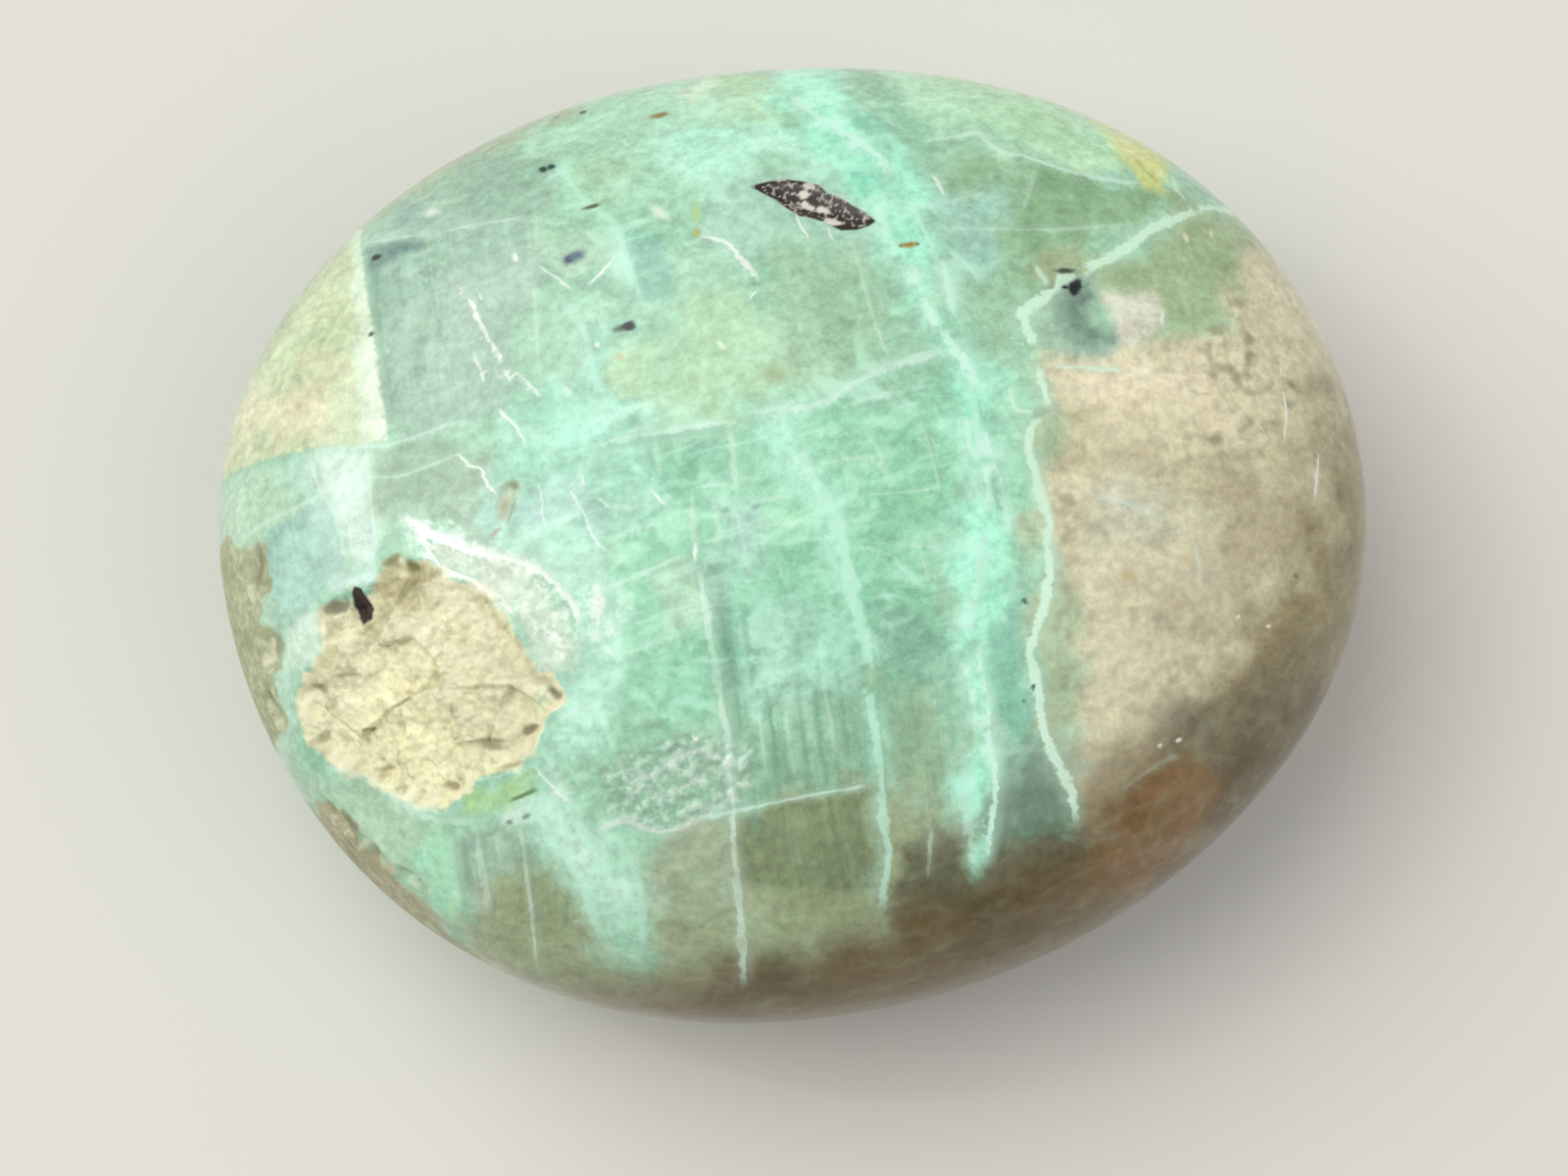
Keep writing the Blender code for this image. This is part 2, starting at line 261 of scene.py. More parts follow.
        (6.6, 26.0), (7.6, 17.4), (9.0, 15.9), (11.2, 16.2), (12.0, 15.0), (13.4, 14.7),
        (15.0, 14.0), (18.5, 13.4), (22.0, 14.5), (20.0, 22.0))),
    ("sage_lit", "C6EEC6", "BEE8C4", 0.4, 0.5, "skin", (
        (11.0, 16.2), (11.8, 14.9), (13.2, 14.9), (14.4, 14.3), (16.0, 13.5), (17.6, 13.3),
        (17.4, 14.2), (15.0, 14.6), (13.4, 15.6), (12.2, 15.6))),
    ("mint_band", "B6FBDD", "A6F0D0", 0.8, 0.9, "through", (
        (1.4, 26.0), (1.9, 20.0), (2.4, 18.3), (3.3, 16.9), (3.8, 15.2), (5.2, 13.4),
        (5.5, 12.2), (5.8, 10.4), (6.2, 9.0), (6.5, 7.6), (7.2, 6.0), (7.9, 4.4), (8.2, 2.8),
        (8.25, 1.0), (8.3, -1.0), (7.9, -2.4), (7.2, -3.6), (6.5, -4.4), (6.3, -5.6),
        (6.6, -7.0), (6.7, -9.0), (7.0, -11.0), (7.1, -13.0), (5.9, -14.2), (5.2, -14.4),
        (5.8, -16.4), (6.0, -18.6), (6.7, -18.8), (7.2, -17.2), (7.7, -15.8), (8.0, -14.4),
        (7.9, -13.0), (7.9, -11.0), (8.0, -9.6), (9.4, -8.7), (9.7, -7.0), (9.8, -5.2),
        (9.8, -3.0), (9.6, -1.0), (9.4, 1.0), (9.7, 2.4), (9.8, 3.2), (9.2, 4.6), (8.7, 5.6),
        (8.4, 7.0), (8.6, 8.0), (8.3, 9.4), (8.0, 10.4), (7.9, 11.2), (7.5, 12.4),
        (8.0, 13.2), (7.6, 14.4), (7.0, 15.3), (6.2, 16.6), (5.5, 18.2), (4.6, 20.0),
        (4.0, 26.0))),
    ("band_shade", "8CDCBA", "98E6C6", 0.3, 0.5, "skin", (
        (4.3, 16.4), (5.4, 15.9), (5.8, 14.6), (5.9, 12.9), (5.2, 13.2), (4.6, 14.4))),
    ("band_right_shade", "92D6B4", "9EDEC0", 0.3, 0.4, "skin", (
        (5.2, 18.6), (6.2, 16.9), (6.9, 15.6), (6.4, 14.2), (7.2, 12.0), (6.4, 11.8),
        (6.2, 13.4), (6.6, 14.8), (5.8, 16.4), (4.8, 17.8))),
    ("band_glow", "B8FFE0", "ACF6D4", 0.5, 0.8, "skin", (
        (8.4, -2.4), (9.7, -2.2), (9.8, -5.0), (9.2, -6.2), (8.0, -6.6), (7.4, -8.4),
        (6.8, -8.0), (7.0, -5.4), (7.2, -4.0))),
    ("band_core", "BAFADC", "AEF2D0", 0.3, 0.5, "skin", (
        (6.5, 8.8), (7.6, 7.6), (8.4, 5.8), (9.4, 3.8), (9.7, 2.6), (8.8, 2.6), (8.2, 4.4),
        (7.2, 6.4), (6.5, 7.8))),
    ("aqua", "7EC0A2", "8ECCB0", 0.4, 0.6, "skin", (
        (8.2, -9.6), (9.3, -7.8), (10.2, -6.6), (10.6, -7.4), (9.9, -9.4), (10.0, -11.4),
        (9.9, -13.0), (8.2, -13.6), (8.1, -11.0))),
    ("green_strip", "A0D8B6", "AEE2C4", 0.4, 0.5, "through", (
        (10.0, 2.4), (11.8, 2.0), (11.2, 0.0), (11.3, -3.0), (11.4, -5.5), (10.8, -7.0),
        (10.0, -6.4), (9.9, -5.0), (9.7, -2.0))),
    ("sandy_strip", "B6D2B0", "C0DAB8", 0.4, 0.7, "skin", (
        (10.0, -3.2), (11.3, -3.4), (11.3, -5.8), (10.7, -6.4), (10.1, -5.4))),
    ("strip_olive", "8AAE88", "94B892", 0.6, 0.8, "through", (
        (3.2, -10.0), (5.2, -10.6), (6.4, -12.0), (6.0, -14.2), (5.0, -15.4), (3.2, -15.4))),
    ("strip_teal", "92C8A8", "A0D2B4", 0.5, 0.8, "skin", (
        (5.4, -9.4), (7.0, -9.2), (7.0, -13.2), (5.8, -13.6), (5.6, -11.4))),
    ("tan", "D0C9A6", "DCD6B4", 0.8, 0.35, "through", (
        (12.4, 4.2), (12.4, 2.6), (12.6, 1.2), (12.2, -0.4), (11.6, -1.6), (11.7, -3.0),
        (11.8, -5.0), (11.5, -7.0), (11.1, -9.0), (11.2, -11.0), (11.4, -13.0),
        (11.8, -15.0), (11.6, -17.0), (12.0, -30.0), (34.0, -30.0), (34.0, 9.0),
        (23.6, 10.6), (22.3, 10.0), (21.1, 8.3), (20.3, 6.9), (21.4, 5.3), (18.3, 4.9),
        (16.0, 4.5), (15.3, 4.0), (12.9, 4.1))),
    # Lighter towards the upper left: partly the tan's own paler colour, partly painted light.
    ("pale_tan_and_painted_light", "F2EACC", "EAE0C0", 1.2, 1.2, "skin", (
        (13.6, 3.4), (13.4, 1.4), (15.0, 1.2), (20.0, 0.6), (21.5, 2.4), (19.0, 4.2),
        (16.0, 4.0))),
    ("tan_left", "DDD8B8", "D2CCAA", 0.8, 1.0, "skin", (
        (12.0, -1.6), (14.0, -1.0), (14.2, -6.4), (13.6, -9.0), (14.4, -11.4), (12.8, -12.4),
        (12.2, -8.0))),
    ("green_foot", "A8BC98", "B4C6A2", 0.4, 0.6, "skin", (
        (12.0, 1.3), (13.0, 1.1), (13.1, -0.4), (12.0, -0.9), (11.6, 0.2))),
    ("tan_pale_bar", "D6D6BC", "CECDB0", 0.7, 0.9, "skin", (
        (14.6, -1.9), (17.0, -2.1), (18.4, -3.1), (19.0, -3.9), (17.4, -4.0), (18.0, -5.2),
        (15.0, -4.9), (13.8, -4.6), (13.8, -3.0))),
    ("vein_foot", "9BB48C", "ABC19B", 0.6, 0.8, "skin", (
        (10.6, -5.6), (12.0, -5.8), (12.4, -8.0), (12.0, -10.4), (12.0, -12.6), (10.4, -12.8),
        (10.0, -10.4), (10.5, -8.2))),
    # Darker through the middle of the tan: partly its own colour, partly painted shade.
    ("middle_tan_and_painted_shade", "BFB596", "C8BF9F", 1.2, 1.0, "skin", (
        (15.6, -0.6), (18.0, -0.8), (22.0, -2.4), (24.0, -1.0), (24.0, -6.0), (20.6, -7.0),
        (18.4, -9.6), (15.4, -8.4), (16.6, -6.0), (20.2, -4.6), (19.4, -2.8))),
    # This zone and the next one darken the tan towards the lower right: partly its own darker
    # colour, partly painted shade.
    ("dark_tan_and_painted_shade", "8E8262", "A0946F", 1.8, 1.4, "through", (
        (11.0, -30.0), (11.0, -13.4), (14.5, -12.4), (17.0, -11.6), (20.0, -9.8),
        (22.5, -6.5), (24.6, -2.0), (26.0, 3.0), (34.0, 4.0), (34.0, -30.0))),
    ("tan_shade", "7A7158", "857B60", 1.5, 0.6, "skin", (
        (16.2, -12.4), (18.6, -12.2), (20.6, -10.8), (23.0, -9.6), (21.5, -13.4),
        (18.0, -15.0), (16.0, -14.0))),
    ("olive_green", "A3BC90", "B0C79C", 0.9, 0.9, "skin", (
        (15.0, 8.5), (17.5, 9.4), (20.0, 10.8), (23.0, 11.8), (23.6, 10.4), (21.8, 8.2),
        (21.2, 6.6), (21.0, 5.4), (18.4, 4.8), (16.0, 5.4), (15.0, 6.6))),
    ("chalk", "DEE0CC", "E6E2CE", 0.5, 0.7, "skin", (
        (15.4, 7.4), (16.6, 7.2), (17.8, 6.5), (18.1, 5.6), (17.8, 4.9), (16.4, 4.6),
        (15.7, 5.4), (15.2, 6.6))),
    ("ink_shade", "9CBEA4", "A8C8B0", 0.3, 0.5, "skin", (
        (12.2, 6.2), (13.4, 6.9), (14.2, 7.7), (15.2, 7.7), (15.3, 6.5), (15.7, 5.5),
        (15.6, 4.4), (14.0, 4.2), (12.8, 4.6), (12.2, 5.2))),
    ("ink_edge", "728F80", "7E9C8B", 0.4, 0.6, "skin", (
        (13.9, 7.4), (15.2, 7.9), (15.3, 6.8), (14.8, 5.8), (15.5, 4.8), (14.6, 4.5),
        (13.6, 5.2), (13.2, 6.2))),
    ("vein_halo", "A0B088", "AABB94", 0.4, 0.5, "skin", (
        (12.4, 8.2), (13.2, 9.4), (14.6, 9.3), (14.9, 8.7), (14.2, 8.2), (13.0, 7.9))),
    ("yellow_rim", "D0D982", "DCE4A0", 0.4, 0.7, "skin", (
        (16.6, 21.0), (16.9, 17.0), (17.6, 15.8), (17.8, 13.8), (18.3, 12.7), (19.2, 12.6),
        (19.9, 14.0), (20.4, 15.6), (24.0, 19.0))),
    ("rim_white", "DDF3D6", "CDEBCB", 0.4, 0.6, "skin", (
        (-3.0, 20.8), (-1.2, 20.8), (-1.3, 19.8), (-2.0, 19.3), (-2.9, 19.9))),
    ("foot_green", "A8CE94", "9CC48A", 0.3, 0.5, "skin", (
        (-16.4, -12.9), (-15.2, -12.2), (-14.0, -11.8), (-12.8, -11.9), (-12.6, -12.7),
        (-14.2, -13.3), (-16.2, -13.2))),
    ("foot_white", "D6EFDC", "C6E6D0", 0.3, 0.6, "skin", (
        (-14.4, -13.4), (-12.2, -12.9), (-11.6, -12.2), (-11.0, -13.2), (-11.8, -14.2),
        (-14.2, -14.1))),
    ("lower_left", "B8DABA", "A8CFB0", 0.5, 0.8, "through", (
        (-24.0, -9.0), (-21.6, -10.1), (-19.6, -11.5), (-18.2, -12.8), (-16.8, -13.2),
        (-16.9, -16.5), (-19.0, -21.0), (-30.0, -14.0))),
    ("drip_glow", "B2ECC8", "A4E0BC", 0.4, 0.5, "skin", (
        (-18.4, -14.4), (-17.4, -13.2), (-16.6, -14.0), (-16.6, -16.4), (-17.6, -17.2),
        (-18.2, -16.0))),
    ("stripes_grey", "9EBFA6", "AECDB4", 0.3, 0.4, "skin", (
        (-16.6, -13.9), (-12.6, -14.0), (-12.5, -15.4), (-14.0, -15.8), (-15.4, -17.6),
        (-16.6, -17.2))),
    ("olive_low", "97A57E", "A0AE8A", 0.8, 0.9, "through", (
        (-18.2, -17.8), (-15.4, -16.8), (-13.6, -15.7), (-12.2, -15.8), (-10.6, -17.4),
        (-8.6, -17.2), (-4.2, -15.4), (-3.9, -14.8), (-1.8, -14.7), (2.4, -14.5), (2.9, -14.0),
        (3.4, -14.4), (5.2, -15.6), (6.2, -17.4), (6.0, -30.0), (-24.0, -30.0))),
    ("olive_deep", "7B8B66", "879670", 0.3, 0.4, "through", (
        (-3.9, -14.9), (2.4, -14.7), (2.4, -17.4), (1.9, -19.0), (-1.0, -18.4),
        (-4.1, -18.0))),
    ("low_haze", "AEBFA2", "A2B494", 0.6, 0.9, "skin", (
        (-8.4, -16.2), (-4.6, -15.4), (-4.4, -18.6), (-5.6, -19.6), (-8.2, -18.8))),
    ("mint_fan", "B6E6CA", "9ED1B2", 1.3, 1.2, "through", (
        (-13.0, -13.2), (-12.2, -12.8), (-10.6, -13.8), (-9.4, -14.8), (-8.6, -16.2),
        (-8.4, -18.4), (-8.9, -20.4), (-10.1, -20.2), (-10.8, -18.6), (-11.2, -17.2),
        (-12.0, -15.8), (-12.9, -14.6))),
    ("fan_glow", "CAF2DE", "BEEAD2", 0.8, 0.8, "skin", (
        (-12.2, -14.0), (-10.8, -14.4), (-9.8, -15.8), (-9.6, -17.6), (-10.4, -17.8),
        (-11.2, -16.4), (-12.0, -15.2))),
    ("deep_green", "66866E", "74947A", 0.5, 0.7, "through", (
        (8.2, -13.8), (9.6, -13.2), (10.2, -13.6), (11.0, -15.8), (11.3, -17.4),
        (10.0, -17.8), (7.4, -17.9), (7.2, -17.0), (8.0, -15.4))),
    # Dark low rim: partly the stone's own dark colour, partly painted shade.
    ("dark_low_rim_and_painted_shade", "67694E", "74755A", 0.6, 0.8, "through", (
        (3.0, -16.8), (5.6, -16.8), (6.4, -18.6), (7.6, -17.6), (10.0, -17.2), (11.8, -17.0),
        (12.2, -19.4), (8.0, -30.0), (2.6, -30.0), (2.8, -19.2))),
    # Brown along the bottom rim: partly the stone's own brown, partly painted shade.
    ("brown_rim_and_painted_shade", "5E5030", "6C5C39", 1.1, 0.5, "through", (
        (-15.5, -20.0), (-9.0, -21.1), (-8.0, -21.3), (-5.0, -20.7), (-2.0, -20.9),
        (2.0, -20.6), (3.2, -19.6), (6.0, -19.3), (7.6, -18.6), (10.0, -18.4), (11.6, -17.4),
        (13.0, -16.2), (15.0, -14.9), (17.0, -14.6), (19.0, -13.8), (21.0, -12.9),
        (23.4, -10.8), (34.0, -14.0), (14.0, -34.0), (-14.0, -34.0))),
    # Amber along the lower right rim: partly the stone's own brown, partly painted shade.
    ("amber_rim_and_painted_shade", "8A6A40", "7C6039", 0.6, 0.3, "skin", (
        (11.2, -19.6), (11.8, -17.8), (12.8, -16.4), (14.0, -15.2), (15.4, -14.5),
        (16.8, -14.2), (18.2, -15.0), (17.2, -17.0), (14.0, -19.4))),
    ("cream", "CEDDB6", "C2D4AC", 0.15, 0.0, "inset", (
        (-18.5, 17.0), (-18.35, 14.5), (-18.2, 12.5), (-18.0, 10.5), (-17.85, 8.0),
        (-17.65, 4.2), (-19.2, 4.3), (-21.3, 4.7), (-24.0, 4.9), (-30.0, 5.5), (-30.0, 20.0))),
    ("cream_warm", "E8E4C4", "DEDDBA", 1.1, 1.3, "in_inset", (
        (-25.0, 5.6), (-25.0, 8.2), (-22.0, 9.2), (-20.2, 8.6), (-19.8, 6.8), (-20.4, 5.2))),
    ("cream_edge", "E2F0D8", "D2E6C4", 0.3, 0.3, "in_inset", (
        (-19.0, 17.0), (-18.9, 12.0), (-18.7, 8.0), (-18.6, 4.2), (-17.0, 4.2), (-17.0, 17.0))),
    ("rim_grey_green", "AABC98", "B6C6A2", 1.2, 0.9, "in_inset", (
        (-30.0, 10.4), (-24.0, 10.2), (-21.4, 13.4), (-19.6, 16.0), (-30.0, 18.0))),
    ("raw_left_rim", "AEB692", "A2AB86", 0.25, 0.4, "inset", (
        (-30.0, 2.4), (-26.2, 2.0), (-25.4, 1.2), (-24.3, 1.3), (-23.9, 0.6), (-24.2, -1.5),
        (-24.8, -2.5), (-24.2, -3.2), (-23.7, -3.9), (-24.0, -4.6), (-24.3, -6.2),
        (-24.2, -7.1), (-25.0, -8.0), (-30.0, -9.0))),
    ("raw_low_rim", "9C9C78", "AAA888", 0.25, 0.4, "inset", (
        (-24.2, -9.8), (-22.9, -11.0), (-21.8, -12.0), (-20.6, -13.6), (-19.6, -14.8),
        (-18.1, -16.9), (-16.4, -18.6), (-15.2, -19.8), (-17.0, -24.0), (-28.0, -16.0),
        (-26.6, -10.0))),
    ("pocket", "E9E7C2", "DAD7B0", 0.25, 0.4, "inset", POCKET),
    ("pocket_glow", "F0ECC2", "E9E3B0", 0.9, 1.2, "in_inset", (
        (-22.0, -7.6), (-20.0, -6.6), (-17.4, -7.0), (-16.6, -9.0), (-17.2, -11.4),
        (-18.4, -12.0), (-20.0, -9.9))),
    ("pocket_grey", "EAE7C2", "DCD8B4", 0.7, 0.9, "in_inset", (
        (-15.6, -4.4), (-13.2, -5.2), (-12.6, -7.4), (-12.0, -9.0), (-13.8, -9.8),
        (-14.8, -8.0), (-15.2, -6.0))),
    ("pocket_top", "C8C29A", "BDB88E", 0.6, 0.8, "in_inset", (
        (-19.4, -2.0), (-17.8, -1.2), (-16.4, -2.4), (-16.2, -4.0), (-18.4, -4.8),
        (-19.6, -4.0))),
)

# Places that carry a texture of their own, each with its outlines
TEXTURED = {
    "streaked": (
        ((-4.0, -7.5), (-1.0, -9.0), (2.3, -10.0), (2.6, -18.5), (-4.1, -18.5)),
        ((-18.4, -13.4), (-15.4, -13.9), (-8.4, -14.0), (-8.4, -19.5), (-17.4, -18.0)),
        ((3.0, -9.6), (8.0, -10.4), (7.6, -17.0), (2.8, -17.6)),
        ((-18.0, 14.4), (-13.6, 14.4), (-13.2, 5.0), (-17.6, 4.6)),
    ),
    "veiled": (
        ((-13.5, 3.6), (-9.0, 5.0), (0.5, 4.2), (5.5, 5.6), (9.4, 5.0), (9.8, -7.0),
         (7.0, -9.4), (2.0, -8.6), (-2.0, -10.0), (-8.6, -10.6), (-11.6, -13.5),
         (-8.4, -19.0), (-11.6, -17.0), (-13.6, -12.2), (-10.4, -8.8), (-12.4, -2.0)),
        ((-9.0, 18.6), (-3.4, 18.8), (1.6, 19.0), (3.4, 15.4), (0.0, 14.6), (0.0, 11.6),
         (-3.0, 10.4), (-5.4, 6.6), (-8.4, 8.0)),
        ((2.0, 22.0), (5.0, 22.0), (8.2, 14.0), (9.2, 6.0), (6.4, 6.6), (3.0, 16.0)),
    ),
    # White grains by the curved crack and in a small patch: partly their own white, partly painted
    # glints.
    "sugary_grains_and_glints": (
        ((-9.3, -4.4), (-8.7, -4.3), (-8.5, -5.6), (-7.6, -5.2), (-7.6, -6.0), (-8.6, -7.0),
         (-9.4, -6.8), (-9.6, -5.6)),
        ((-17.0, -0.2), (-15.0, -1.0), (-13.0, -1.9), (-11.0, -2.9), (-9.6, -5.0),
         (-10.4, -7.4), (-11.6, -7.2), (-12.6, -4.8), (-14.8, -2.6), (-16.6, -1.4)),
    ),
}

# A seam swells and pinches by a share of its width, over a size. It runs out at its ends over
# a share of its length, but over no more than some millimetres.
PINCH = 0.6
PINCH_SIZE = 1.3
RUN_OUT = 0.15
LONGEST_RUN_OUT = 0.9

